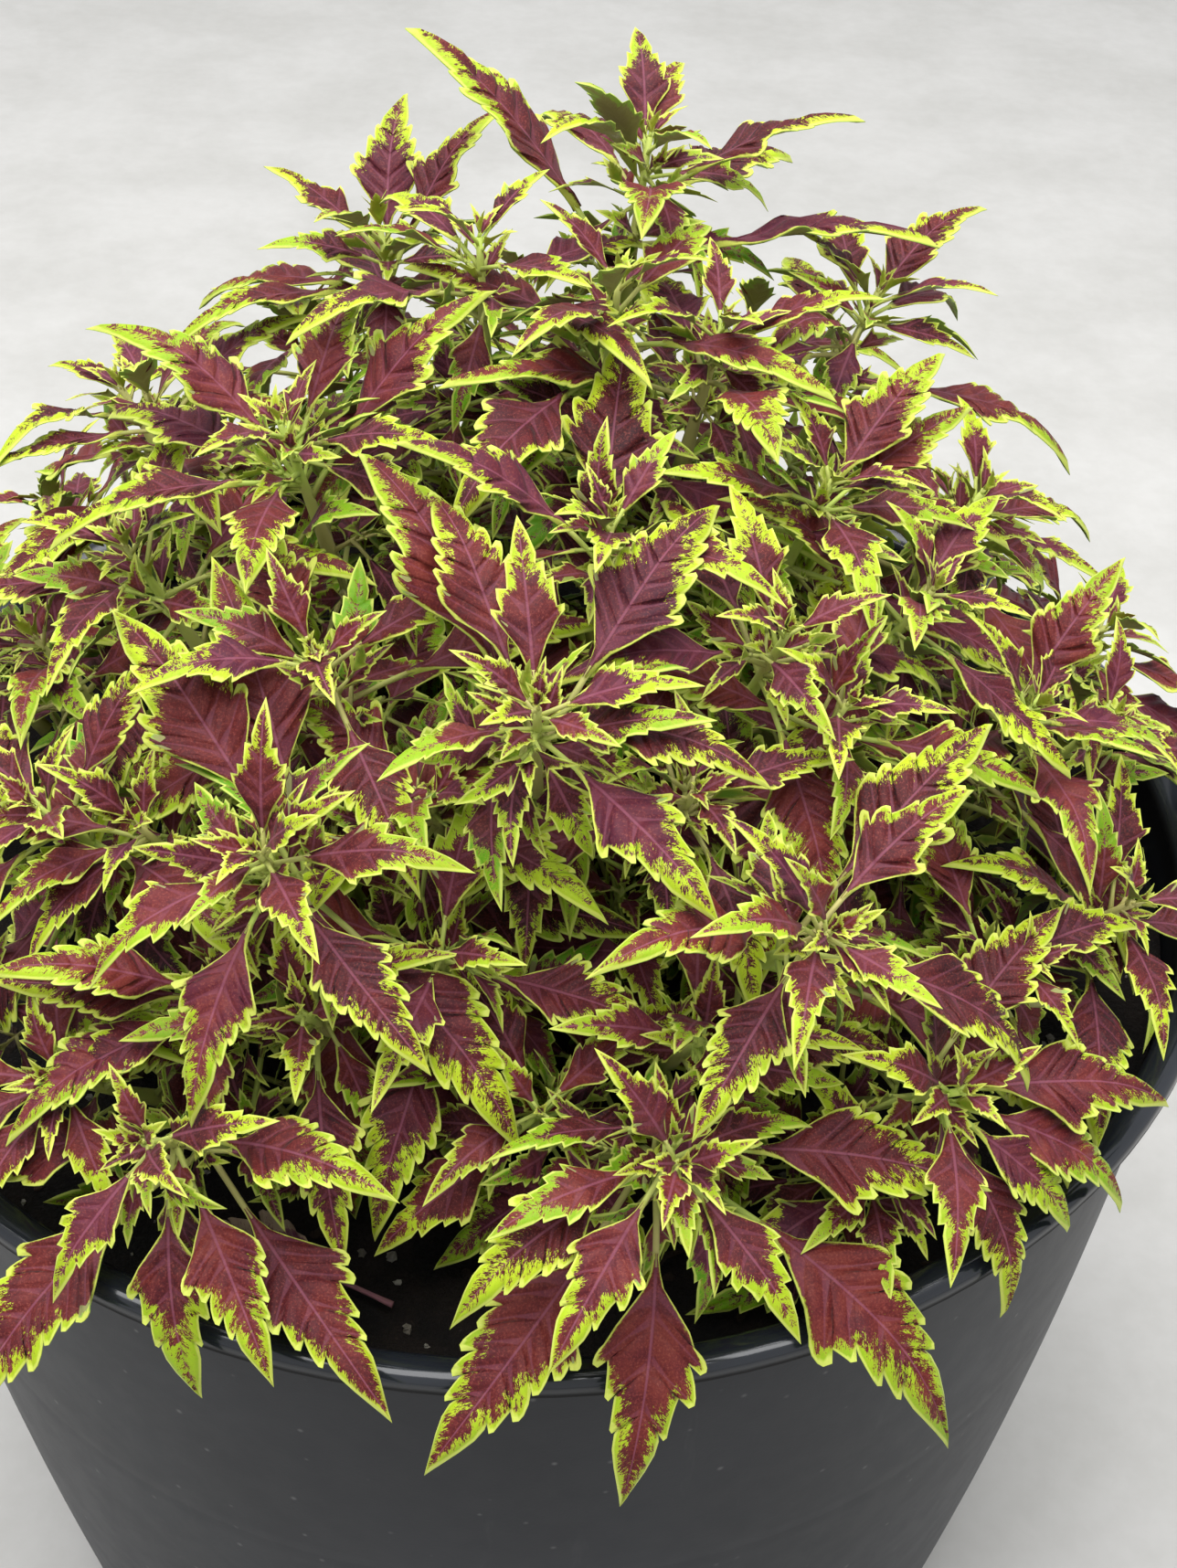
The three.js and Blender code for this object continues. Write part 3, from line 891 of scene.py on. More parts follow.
@dataclass(frozen=True)
class BladeShape:
    """One shape of toothed blade, as a closed mesh in the blade's own coordinates.

    The attribute "grid" holds the place along the leaf (-1 to 0 on the stalk, 0 to 1 on the blade), the
    place across in half widths, and the height in units of the blade's thickness or the stalk's radius.
    """

    detail: Detail
    teeth: int
    seed: int
    first_tooth: float = 0.44
    last_tooth: float = 0.68
    half_aspect: float = 0.215
    side_vein_slant: float = 0.19
    side_vein_dip: float = 3.0
    dip_reach: float = 0.05
    stalk_reach: float = 0.05
    undercut: float = 0.012
    fine_undercut: float = 0.022

    # Along the blade, width, mark: the margin below the teeth, which coarser shapes take points from.
    BASE = (
        (0.0, 0.05, Mark.EDGE), (0.07, 0.09, Mark.EDGE), (0.13, 0.17, Mark.EDGE), (0.2, 0.4, Mark.VEIN),
        (0.28, 0.66, Mark.VEIN), (0.35, 0.86, Mark.EDGE),
    )
    BASE_TAKEN = {Detail.FINE: (0, 1, 2, 3, 4, 5), Detail.PLAIN: (0, 3, 5), Detail.SMALL: (0, 5)}
    # Shares of the run and of the rise from a notch to the next tooth.
    RISES = {
        Detail.FINE: ((0.22, 0.52), (0.5, 0.88), (0.8, 1.05)),
        Detail.PLAIN: ((0.5, 0.95),),
        Detail.SMALL: (),
    }
    # Shares of the run and of the width from the last notch to the tip.
    ENDS = {
        Detail.FINE: ((0.12, 1.16), (0.3, 1.1), (0.52, 0.8), (0.72, 0.46), (0.88, 0.18)),
        Detail.PLAIN: ((0.2, 1.12), (0.6, 0.66)),
        Detail.SMALL: ((0.3, 1.1),),
    }
    # Places of the columns between midrib and margin, by their number.
    COLUMNS = {1: (1.0,), 2: (0.6, 1.0), 3: (0.42, 0.78, 1.0)}
    BASE_JITTER = (0.94, 1.06)
    TOOTH_JITTER = (-0.2, 0.2)
    WIDTH_JITTER = (0.88, 1.08)
    CUT_JITTER = (0.66, 0.8)
    CUT_DEEPENING = 0.05
    NARROWING = 0.46
    NARROWING_POWER = 1.3
    TOOTH_BACK = (0.014, 0.9)
    ROW_STEP = 0.004
    # Heights of the margin, of the upper face, of the lower one, and of the midrib below.
    MARGIN_HEIGHT = 0.3
    TOP_HEIGHT = 0.5
    UNDER_HEIGHT = -1.5
    MIDRIB_HEIGHT = -1.6

    def outline(self, jitter: random.Random) -> list[MarginPoint]:
        """One side of the blade.

        Args:
            jitter: The source of its small irregularities.

        Returns:
            Points of (along, across, mark), from the stalk to the blade's tip.
        """
        is_fine = self.detail is Detail.FINE
        base = [self.BASE[i] for i in self.BASE_TAKEN[self.detail]]
        points = [(t, w * jitter.uniform(*self.BASE_JITTER), mark) for t, w, mark in base]
        spacing = (self.last_tooth - self.first_tooth) / (self.teeth - 1)
        for k in range(self.teeth):
            tip = self.first_tooth + (k + jitter.uniform(*self.TOOTH_JITTER)) * spacing
            share = k / (self.teeth - 1)
            narrowed = 1 - self.NARROWING * share ** self.NARROWING_POWER
            width = narrowed * jitter.uniform(*self.WIDTH_JITTER)
            cut = width * jitter.uniform(*self.CUT_JITTER) - self.CUT_DEEPENING * share
            start, start_width, _ = points[-1]
            for run, rise in self.RISES[self.detail]:
                across = start_width + rise * (width - start_width)
                points.append((start + run * (tip - start), across, Mark.EDGE))
            points.append((tip, width, Mark.VEIN))
            if is_fine:
                points.append((tip + self.TOOTH_BACK[0], width * self.TOOTH_BACK[1], Mark.EDGE))
            points.append((tip - (self.fine_undercut if is_fine else self.undercut), cut, Mark.NOTCH))
        start, start_width, _ = points[-1]
        ends = self.ENDS[self.detail]
        return points + [(start + run * (1 - start), start_width * rise, Mark.EDGE) for run, rise in ends]

    def rows(self) -> list[tuple[float, list[MarginPoint]]]:
        """Pairs the points of both margins.

        Returns:
            The midrib's place and the two margin points of each row, base to tip.
        """
        jitter = random.Random(self.seed)
        made, rib = [], -1.0
        for left, right in zip(*[self.outline(jitter), self.outline(jitter)]):
            slant = self.side_vein_slant * (left[1] + right[1]) / 2
            rib = max((left[0] + right[0]) / 2 - slant, rib + self.ROW_STEP, 0.0)
            made.append((rib, [left, right]))
        return made

    def mesh(self) -> Mesh:
        """Builds both faces, the margin between them and the stalk.

        Returns:
            The closed mesh, with its attributes.
        """
        maker, rows = ShellMaker(), self.rows()
        measure = BladeMeasure(rows, self.half_aspect)
        columns_above, columns_below, stalk_sides, stalk_rings = self.detail.value
        loops = []
        for height, columns in ((1, columns_above), (-1, columns_below)):
            sheet = [self._row(maker, measure, row, self.COLUMNS[columns], height) for row in rows]
            maker.sheet(sheet, flip=height < 0)
            end = maker.point((1, 0, self.MARGIN_HEIGHT * height), (0, 0, 1, 0, height < 0))
            maker.fan(sheet[-1], end, flip=height > 0)
            left, right = ([row[side] for row in sheet] for side in (0, -1))
            loops.append((left + [end] + right[::-1], sheet[0]))
        (upper, upper_base), (lower, lower_base) = loops
        maker.strip(upper, lower)
        maker.faces.append(tuple(lower_base + upper_base[::-1]))
        maker.tube(stalk_sides, stalk_rings, self.stalk_reach)
        return maker.mesh(f"blade_{self.detail.name}_{self.seed}")

    def _row(self, maker: "ShellMaker", measure: "BladeMeasure", row: tuple[float, list[MarginPoint]],
             shares: tuple[float, ...], height: int) -> list[int]:
        """Adds the points of one row from the left margin to the right one.

        Args:
            maker: Collects the points.
            measure: Tells distances on the blade.
            row: Where the row leaves the midrib, and its two margin points.
            shares: The places of the row's columns between midrib and margin.
            height: 1 for the upper face, -1 for the lower one.

        Returns:
            The points' indices.
        """
        rib, sides = row
        made = []
        for side, sign in ((0, 1), (1, -1)):
            run = []
            for share in shares:
                along = rib + (sides[side][0] - rib) * share
                across = sides[side][1] * share
                vein = measure.vein(along, across, side)
                dip = self.side_vein_dip * min(1.0, vein / self.dip_reach) * math.sin(math.pi * share)
                face = self.TOP_HEIGHT if height > 0 else self.UNDER_HEIGHT
                thick = dip + (self.MARGIN_HEIGHT * height if share == 1 else face)
                margin = 0.0 if share == 1 else measure.margin(along, across, side)
                marks = (margin, vein, measure.notch(along, across, side), 0, height < 0)
                run.append(maker.point((along, sign * across, thick), marks))
            made.append(run)
        margin = min(measure.margin(rib, 0, side) for side in (0, 1))
        notch = min(measure.notch(rib, 0, side) for side in (0, 1))
        face = self.TOP_HEIGHT if height > 0 else self.MIDRIB_HEIGHT
        middle = maker.point((rib, 0, face), (margin, 0, notch, 0, height < 0))
        return made[0][::-1] + [middle] + made[1]


class BladeMeasure:
    """Tells how far a point of a blade is from its veins, notches and margin, in blade lengths."""

    def __init__(self, rows: list[tuple[float, list[MarginPoint]]], half_aspect: float) -> None:
        """Takes the marks of each side of the blade.

        Args:
            rows: The midrib's place and the two margin points of each row.
            half_aspect: The blade's half width over its length.
        """
        self.half = half_aspect
        self.veins, self.cuts, self.edges = [], [], []
        for side in (0, 1):
            points = [(rib, *sides[side]) for rib, sides in rows]
            veins = [((rib, 0.0), (t, w)) for rib, t, w, mark in points if mark is Mark.VEIN]
            edge = [(t, w) for _, t, w, _ in points] + [(1.0, 0.0)]
            self.veins.append(veins)
            self.cuts.append([(t, w) for _, t, w, mark in points if mark is Mark.NOTCH])
            self.edges.append(list(zip(edge, edge[1:])))

    def notch(self, along: float, across: float, side: int) -> float:
        """Distance from a point to the nearest notch of a side."""
        return min(math.hypot(along - t, (across - w) * self.half) for t, w in self.cuts[side])

    def vein(self, along: float, across: float, side: int) -> float:
        """Distance from a point to the nearest side vein of a side."""
        return self._nearest(along, across, self.veins[side])

    def margin(self, along: float, across: float, side: int) -> float:
        """Distance from a point to the margin of a side."""
        return self._nearest(along, across, self.edges[side])

    def _nearest(self, along: float, across: float, lines: list[tuple[Pair, Pair]]) -> float:
        """Distance from a point to the nearest of some straight lines.

        Args:
            along: The point's place along the blade.
            across: Its place across, in half widths.
            lines: The ends of each line.

        Returns:
            The distance, at most 1.
        """
        best = 1.0
        for first, second in lines:
            start, end, here = (Vector((t, w * self.half)) for t, w in (first, second, (along, across)))
            run = end - start
            share = max(0.0, min(1.0, (here - start).dot(run) / max(run.length_squared, 1e-12)))
            best = min(best, (here - start - run * share).length)
        return best


class ShellMaker:
    """Collects the points and faces of a leaf's closed shells."""

    MARKS = ("margin", "rib", "notch", "petiole", "under")
    STALK_MARKS = (9, 9, 9, 1, 0)
    FLARE = 0.35
    FLARE_POWER = 6
    SQUARENESS = 0.22

    def __init__(self) -> None:
        """Starts empty."""
        self.grid: list[Triple] = []
        self.marks: list[tuple[float, ...]] = []
        self.faces: list[tuple[int, ...]] = []
        self.creases: set[frozenset[int]] = set()

    def point(self, grid: Triple, marks: tuple[float, ...]) -> int:
        """Adds a point.

        Args:
            grid: Its place along, across and above the leaf.
            marks: Its values of MARKS.

        Returns:
            Its index.
        """
        self.grid.append(grid)
        self.marks.append(marks)
        return len(self.grid) - 1

    def sheet(self, rows: list[list[int]], flip: bool) -> None:
        """Adds quads between successive rows of equal length.

        Args:
            rows: The points of each row.
            flip: Whether the quads are turned round.
        """
        for near, far in zip(rows, rows[1:]):
            for i in range(len(near) - 1):
                face = (near[i], far[i], far[i + 1], near[i + 1])
                self.faces.append(face if flip else face[::-1])

    def fan(self, row: list[int], end: int, flip: bool) -> None:
        """Closes a row to one point."""
        for first, second in zip(row, row[1:]):
            self.faces.append((first, second, end) if flip else (second, first, end))

    def strip(self, upper: list[int], lower: list[int]) -> None:
        """Joins the margins of the upper and lower faces, and creases them.

        Args:
            upper: The upper margin's points.
            lower: The lower margin's points.
        """
        for i in range(len(upper) - 1):
            self.faces.append((upper[i], upper[i + 1], lower[i + 1], lower[i]))
            self.creases |= {frozenset(upper[i:i + 2]), frozenset(lower[i:i + 2])}

    def tube(self, sides: int, rings: int, reach: float, taper: float = 1.0, square: float = 0.0) -> None:
        """Adds a closed tube along the stalk.

        Args:
            sides: The number of sides.
            rings: The number of rings.
            reach: How far it runs into the blade.
            taper: The radius at its far end over that at its root.
            square: 1 for a square section, 0 for a round one.
        """
        made = []
        for ring in range(rings):
            share = ring / (rings - 1)
            along = -1 + (1 + reach) * share
            radius = 1 + (taper - 1) * share + self.FLARE * (1 - share) ** self.FLARE_POWER
            row = []
            for i in range(sides):
                turn = 2 * math.pi * (i + 0.5) / sides
                bulge = radius * (1 + square * self.SQUARENESS * math.cos(4 * turn - math.pi))
                point = (along, bulge * math.sin(turn), bulge * math.cos(turn))
                row.append(self.point(point, self.STALK_MARKS))
            made.append(row)
        for near, far in zip(made, made[1:]):
            for i in range(sides):
                j = (i + 1) % sides
                self.faces.append((near[j], near[i], far[i], far[j]))
        self.faces += [tuple(made[0]), tuple(made[-1][::-1])]

    def mesh(self, name: str) -> Mesh:
        """Ends the collection.

        Args:
            name: The mesh's name.

        Returns:
            The mesh with all its attributes, creased along the margins.
        """
        made = make_mesh(name, self.grid, self.faces, smooth=True)
        write(made, "grid", "FLOAT_VECTOR", self.grid)
        for key, column in zip(self.MARKS, np.transpose(self.marks)):
            write(made, key, "FLOAT", column)
        sharp = [frozenset(edge.vertices) in self.creases for edge in made.edges]
        write(made, "sharp_edge", "BOOLEAN", sharp, "EDGE")
        return made


class ShapeLibrary:
    """The blade shapes and the shoot axis, in a collection that leaves pick from by index."""

    # Teeth, seed, first tooth, last tooth.
    SHAPES = {
        Detail.FINE: (
            (4, 1, 0.42, 0.69), (4, 2, 0.4, 0.66), (3, 3, 0.45, 0.68), (5, 4, 0.39, 0.73), (4, 10, 0.43, 0.7),
        ),
        Detail.PLAIN: ((3, 5, 0.44, 0.68), (3, 6, 0.42, 0.66), (3, 7, 0.44, 0.72)),
        Detail.SMALL: ((2, 8, 0.44, 0.66), (2, 9, 0.48, 0.7)),
    }
    # Sides and rings of the axis of a shoot, and of a side shoot.
    AXES = ((8, 7), (5, 3))
    AXIS_TAPER = 0.45

    def __init__(self) -> None:
        """Builds the collection."""
        self.collection = bpy.data.collections.new("leaf_shapes")
        shapes = [BladeShape(detail, *row) for detail, rows in self.SHAPES.items() for row in rows]
        self.details = [shape.detail for shape in shapes]
        meshes = [shape.mesh() for shape in shapes]
        for sides, rings in self.AXES:
            axis = ShellMaker()
            axis.tube(sides, rings, reach=0.0, taper=self.AXIS_TAPER, square=1.0)
            meshes.append(axis.mesh("axis"))
        for number, mesh in enumerate(meshes):
            self.collection.objects.link(bpy.data.objects.new(f"shape_{number:02d}", mesh))

    def pick(self, detail: Detail, chooser: random.Random) -> int:
        """The index of a random shape of the wanted detail."""
        return chooser.choice([i for i, each in enumerate(self.details) if each is detail])


# ------------------------------------------------------------------ foliage


@dataclass(frozen=True)
class Leaf:
    """One leaf: where it is attached, how it lies, and what sets it apart. Millimetres and radians."""

    root: Vector
    along: Vector
    face: Vector
    blade: float
    stalk: float
    girth: float
    arch: float = 0.0
    cup: float = 0.0
    curl: float = 0.0
    twist: float = 0.0
    sway: float = 0.0
    wave: float = 0.0
    phase: float = 0.0
    tone: float = 0.5
    lime: float = 4.0
    own: float = 0.0
    # How deep inside the plant the leaf sits; its finish paints it darker and greener by this, as painted
    # shade.
    shade: float = 0.0

    HALF_WIDTH = 0.215
    # Shares of the length and of the half width at the points that stand for the blade.
    GRID = np.array([
        (share, side * width)
        for share, width in (
            (0.14, 0.1), (0.28, 0.5), (0.4, 0.8), (0.52, 0.9), (0.65, 0.8), (0.77, 0.45), (0.9, 0.15))
        for side in (-1, -0.5, 0, 0.5, 1)
    ] + [(1.0, 0.0)])

    def centre(self) -> np.ndarray:
        """The middle of the blade."""
        return np.array(self.root + self.along * (self.stalk + 0.5 * self.blade))

    def samples(self) -> np.ndarray:
        """Spreads points over the blade, for telling whether leaves touch.

        Returns:
            The points, a row each.
        """
        whole = self.stalk + self.blade
        half = self.HALF_WIDTH * self.blade
        share, side = self.GRID[:, 0], self.GRID[:, 1]
        run = self.stalk + share * self.blade
        lift = 4 * self.arch * whole * (run / whole) * (1 - run / whole) + self.cup * half * np.abs(side)
        axes = [np.array(axis) for axis in (self.along, self.face.cross(self.along), self.face)]
        parts = zip((run, side * half, lift), axes)
        return np.array(self.root) + sum(np.outer(part, axis) for part, axis in parts)


DIRECTIONS = ("root", "along", "face")
VALUES = tuple(each.name for each in fields(Leaf))[len(DIRECTIONS):]


class LeafTree(GeometryGraph):
    """Turns points that carry the values of leaves into leaves."""

    BREADTH_POWER = 1.4
    WAVE_SHIFT = 1.3
    EDGE_DROOP = 0.013
    EDGE_BAND = 2.5
    CURL_FROM = 0.5

    def __init__(self) -> None:
        """Builds the tree."""
        ratios = {"Width Ratio": float, "Thickness Ratio": float, "Margin Waves": float}
        inputs = {"Shapes": Collection, **ratios, "Material": Material}
        super().__init__("Leaves", inputs)
        points = self.source.outputs["Geometry"]
        copies = self.instances(points, "Shapes", self.named("shape", "INT"))
        real = self.made("GeometryNodeRealizeInstances", {"Geometry": copies})
        value = {key: self.named(key) for key in (*VALUES, "petiole", "margin", "rib", "notch")}
        grid = self.named("grid", "FLOAT_VECTOR")
        down, side, height = (grid.part(i) for i in range(3))
        root, along, face = (self.named(key, "FLOAT_VECTOR") for key in DIRECTIONS)
        on_blade = down.call("MAXIMUM", 0.0)
        run = value["stalk"] * (1.0 + down.call("MINIMUM", 0.0)) + value["blade"] * on_blade
        whole = value["stalk"] + value["blade"]
        share = run / whole
        bow = share * (1.0 - share) * 4.0 * whole
        half = value["blade"] * self.given("Width Ratio") * 0.5
        is_stalk = value["petiole"]
        on_leaf = 1.0 - is_stalk
        breadth = side.call("ABSOLUTE")
        ripple = on_blade * self.given("Margin Waves") + value["phase"] + side * self.WAVE_SHIFT
        ripple = ripple.call("SINE")
        cupped = value["cup"] * half * (breadth ** self.BREADTH_POWER)
        rise = cupped + ripple * value["wave"] * half * breadth * breadth
        thick = height * value["blade"] * self.given("Thickness Ratio")
        offset = is_stalk * height * value["girth"] + on_leaf * (thick + rise)
        across = side * (is_stalk * value["girth"] + on_leaf * half)
        turn = value["twist"] * on_blade
        cosine, sine = turn.call("COSINE"), turn.call("SINE")
        droop = value["curl"] * value["blade"] * (on_blade - self.CURL_FROM).call("MAXIMUM", 0.0) ** 2.0
        edge = (value["margin"] * value["blade"]).step(self.EDGE_BAND, 0.0)
        droop = droop + edge * value["blade"] * self.EDGE_DROOP * on_leaf
        y = across * cosine - offset * sine + value["sway"] * bow
        z = across * sine + offset * cosine + value["arch"] * bow - droop
        at = root + along * run + self.vector("CROSS_PRODUCT", face, along) * y + face * z
        made = self.made("GeometryNodeSetPosition", {"Geometry": real, "Position": at * MM})
        made = self.store(made, "leaf", self.pack(on_blade * value["blade"], side * half, value["own"]))
        for key in ("margin", "rib", "notch"):
            made = self.store(made, key, value[key] * value["blade"])
        self.end(made)


@dataclass(frozen=True)
class Shoot:
    """The leafy end of a branch, with its crown at a place in millimetres.

    Each leaf is a turn and a rise in degrees and a length in millimetres. A shoot without leaves follows the
    rule of crossed pairs, which twist turns. A filler joins the shoot of that number.
    """

    at: Triple
    leaves: tuple[Triple, ...] = ()
    twist: float = 0.0
    size: float = 1.0
    joins: int = 0

    FULL_LENGTH = 66.0
    LEAN = math.radians(45)
    PLANT_RADIUS = 270.0

    @property
    def length(self) -> float:
        """The length of its axis."""
        return self.FULL_LENGTH * self.size

    @property
    def crown(self) -> Vector:
        """The shoot's tip."""
        return Vector(self.at)

    @property
    def direction(self) -> Vector:
        """A shoot leans outwards more the nearer it is to the plant's edge."""
        flat = Vector((self.at[0], self.at[1], 0))
        lean = self.LEAN * min(1.0, flat.length / self.PLANT_RADIUS)
        return flat.normalized() * math.sin(lean) + UP * math.cos(lean)

    @property
    def foot(self) -> Vector:
        """Where the shoot stands on its branch."""
        return self.crown - self.direction * self.FULL_LENGTH * self.size


# ------------------------------------------------------------------ the plan of the plant


# The shoots whose leaves are placed one by one.
PLACED = (
    Shoot((-72, -192, 540), (
        (330, 50, 30), (245, 15, 20), (200, 30, 20), (350, 50, 35), (90, 65, 40), (295, 5, 40),
        (210, -15, 50), (345, 20, 50), (250, -35, 60), (310, -15, 60), (115, 40, 80), (135, 35, 80),
        (35, 15, 75), (320, -25, 75))),
    Shoot((58, -254, 478), (
        (345, 40, 25), (260, 10, 25), (170, 60, 40), (315, -25, 50), (240, -20, 55), (0, -5, 75),
        (215, -15, 60), (330, -25, 90), (265, -50, 75), (220, -35, 85))),
    Shoot((100, -207, 530), (
        (5, 45, 15), (190, 65, 30), (320, 0, 35), (220, 35, 45), (260, 0, 40), (40, 25, 55), (165, 55, 40),
        (45, 25, 75), (355, -25, 70), (215, 25, 60), (240, -25, 55), (5, -35, 90))),
    Shoot((-106, -240, 462), (
        (300, 20, 30), (190, 30, 15), (345, 45, 40), (230, -30, 45), (300, -25, 60), (335, 15, 60),
        (225, -40, 80), (310, -30, 75), (280, -60, 60), (175, -20, 65))),
    Shoot((11, -174, 585), (
        (65, 75, 15), (235, 25, 25), (100, 40, 50), (0, 20, 40), (340, 5, 55), (55, 30, 75), (125, 35, 85),
        (115, 30, 70), (315, -20, 60))),
    Shoot((-84, -26, 590), (
        (155, 35, 70), (75, 35, 55), (40, 40, 70), (240, 20, 40), (335, 20, 50), (265, 5, 60), (150, 5, 65),
        (200, 0, 65))),
    Shoot((41, 108, 640), (
        (155, 45, 85), (95, 35, 50), (75, 25, 45), (230, 35, 50), (10, 25, 65), (0, 10, 80), (300, 30, 40),
        (120, 5, 65), (50, 0, 70), (270, 20, 60))),
    Shoot((-62, 106, 600), (
        (90, 40, 65), (145, 20, 50), (50, 45, 60), (160, -10, 65), (240, 35, 40), (300, 30, 50),
        (200, 0, 65), (110, 0, 75))),
    Shoot((107, -34, 580), (
        (50, 30, 65), (220, 45, 35), (200, 25, 50), (340, 15, 30), (285, 0, 50), (15, -10, 60),
        (40, 15, 60), (350, -20, 75), (130, 50, 30))),
    Shoot((131, 87, 590), (
        (100, 20, 50), (45, 30, 60), (45, -10, 50), (230, 10, 65), (240, 25, 60), (340, 20, 40),
        (150, 30, 35), (100, 0, 70), (5, -15, 75))),
    Shoot((31, -82, 590), (
        (85, 35, 75), (55, 35, 35), (240, 40, 35), (265, 5, 45), (330, 25, 50), (180, 30, 60))),
    Shoot((183, -67, 510), (
        (10, -10, 50), (290, -5, 55), (65, 20, 30), (25, -40, 85), (240, 15, 50), (45, 25, 60),
        (330, -35, 75), (150, 55, 35))),
    Shoot((149, -205, 460), (
        (10, -5, 70), (355, -25, 65), (345, -45, 55), (310, -60, 60), (65, 60, 45), (50, 20, 65),
        (270, -20, 50), (200, 40, 40))),
)

# Crown x, y, z, twist of the leaf pairs in degrees, size.
RULED = (
    (-62, -198, 478, 10, 0.85), (-19, -190, 500, 75, 0.85), (-155, -135, 505, 50, 1),
    (60, -150, 535, 20, 0.8), (171, 25, 540, 30, 1), (-183, -21, 490, 100, 1), (31, 20, 625, 60, 0.95),
    (128, -215, 425, 35, 0.6), (225, -20, 470, 15, 1), (-190, -160, 455, 70, 1), (-150, 60, 550, 20, 1),
    (-20, 50, 625, 130, 0.9), (110, -115, 545, 80, 0.85), (15, -215, 455, 40, 0.7),
    (-63, -117, 560, 25, 0.9), (89, -108, 568, 110, 0.85), (142, -62, 555, 60, 0.85),
    (68, 14, 612, 15, 0.9), (-140, -38, 545, 75, 0.95), (176, -145, 462, 25, 0.85),
    (-24, -150, 530, 50, 0.8), (224, -100, 448, 95, 0.85), (66, -205, 480, 0, 0.75),
)

# Count, first turn, last turn, radius, level, size.
RINGS = ((8, 14, 172, 246, 456, 1), (4, 62, 152, 188, 535, 1), (8, 18, 333, 128, 466, 0.85))
GOLDEN_ANGLE = 137.5

# Lesser shoots, which fill the front and belong to a neighbour's piece.
FILLERS = (
    Shoot((-91, -190, 478), (
        (215, -12, 62), (208, 2, 52), (193, 5, 72), (185, 10, 58), (265, -30, 42)), joins=14),
    Shoot((-121, -142, 505), (
        (177, 5, 55), (215, -5, 48), (225, -20, 45), (184, 45, 35)), joins=16),
    Shoot((-142, -206, 452), (
        (203, -15, 42), (178, 0, 45), (236, -40, 42), (300, -34, 38), (100, 30, 40)), joins=4),
)


def plan_shoots() -> list[Shoot]:
    """Lists every shoot of the plant, in the order of the CAD nodes.

    Returns:
        The shoots.
    """
    shoots = list(PLACED) + [Shoot(row[:3], (), *row[3:]) for row in RULED]
    for count, first, last, radius, level, size in RINGS:
        for i in range(count):
            turn = math.radians(first + i * (last - first) / (count - 1))
            at = (radius * math.cos(turn), radius * math.sin(turn), level)
            shoots.append(Shoot(at, (), i * GOLDEN_ANGLE, size))
    return shoots


def heading(turn: float, rise: float = 0.0) -> Vector:
    """The unit vector of a turn about Z and a rise above the horizontal, in degrees."""
    turn, rise = math.radians(turn), math.radians(rise)
    return Vector((math.cos(turn) * math.cos(rise), math.sin(turn) * math.cos(rise), math.sin(rise)))


def splayed(axis: Vector, spin: float, angle: float) -> Vector:
    """A direction that leans away from an axis.

    Args:
        axis: The axis.
        spin: The turn round it, in degrees.
        angle: The angle from it, in degrees.

    Returns:
        The direction, of length 1.
    """
    side = axis.cross(Vector((1, 0, 0))).normalized()
    outward = Matrix.Rotation(math.radians(spin), 3, axis) @ side
    bend = math.radians(angle)
    return axis * math.cos(bend) + outward * math.sin(bend)


def bezier(start: Vector, middle: Vector, end: Vector, steps: int) -> list[Vector]:
    """The steps + 1 points of a quadratic curve from start to end, whose control point is middle."""
    shares = [i / steps for i in range(steps + 1)]
    return [start * (1 - s) ** 2 + middle * (2 * s * (1 - s)) + end * s * s for s in shares]


@dataclass(frozen=True)
class Framework:
    """The courses of the stem's limbs and twigs, in millimetres."""

    soil: float = 368.0
    limb_count: int = 8
    limb_spread: float = 62.0
    limb_level: float = 412.0
    elbow: float = 0.6
    elbow_rise: float = 8.0
    start_height: float = 12.0
    lead: float = 30.0
    steps: int = 9

    def limbs(self) -> list[list[Vector]]:
        """Lays out the limbs, which fan out from the rootstock.

        Returns:
            The course of each limb.
        """
        start = UP * (self.soil + self.start_height)
        made = []
        for i in range(self.limb_count):
            flat = heading(360 * i / self.limb_count) * self.limb_spread
            knee = flat * self.elbow + UP * (start.z + self.elbow_rise)
            made.append(bezier(start, knee, flat + UP * self.limb_level, self.steps))
        return made

    def twig(self, shoot: Shoot) -> list[Vector]:
        """The course of the twig that carries a shoot."""
        start = min((limb[-1] for limb in self.limbs()), key=lambda end: (end - shoot.foot).length)
        return bezier(start, shoot.foot - shoot.direction * self.lead, shoot.foot, self.steps)

    def station(self, shoot: Shoot, depth: float) -> tuple[Vector, Vector]:
        """A place below a shoot's crown, followed down its axis and its twig.

        Args:
            shoot: The shoot.
            depth: The distance from the crown.

        Returns:
            The point and the direction towards the crown.
        """
        if depth <= shoot.length:
            return shoot.crown - shoot.direction * depth, shoot.direction
        left = depth - shoot.length
        course = self.twig(shoot)[::-1]
        for near, far in zip(course, course[1:]):
            run = far - near
            if left <= run.length:
                return near + run.normalized() * left, -run.normalized()
            left -= run.length
        return course[-1], (course[-2] - course[-1]).normalized()


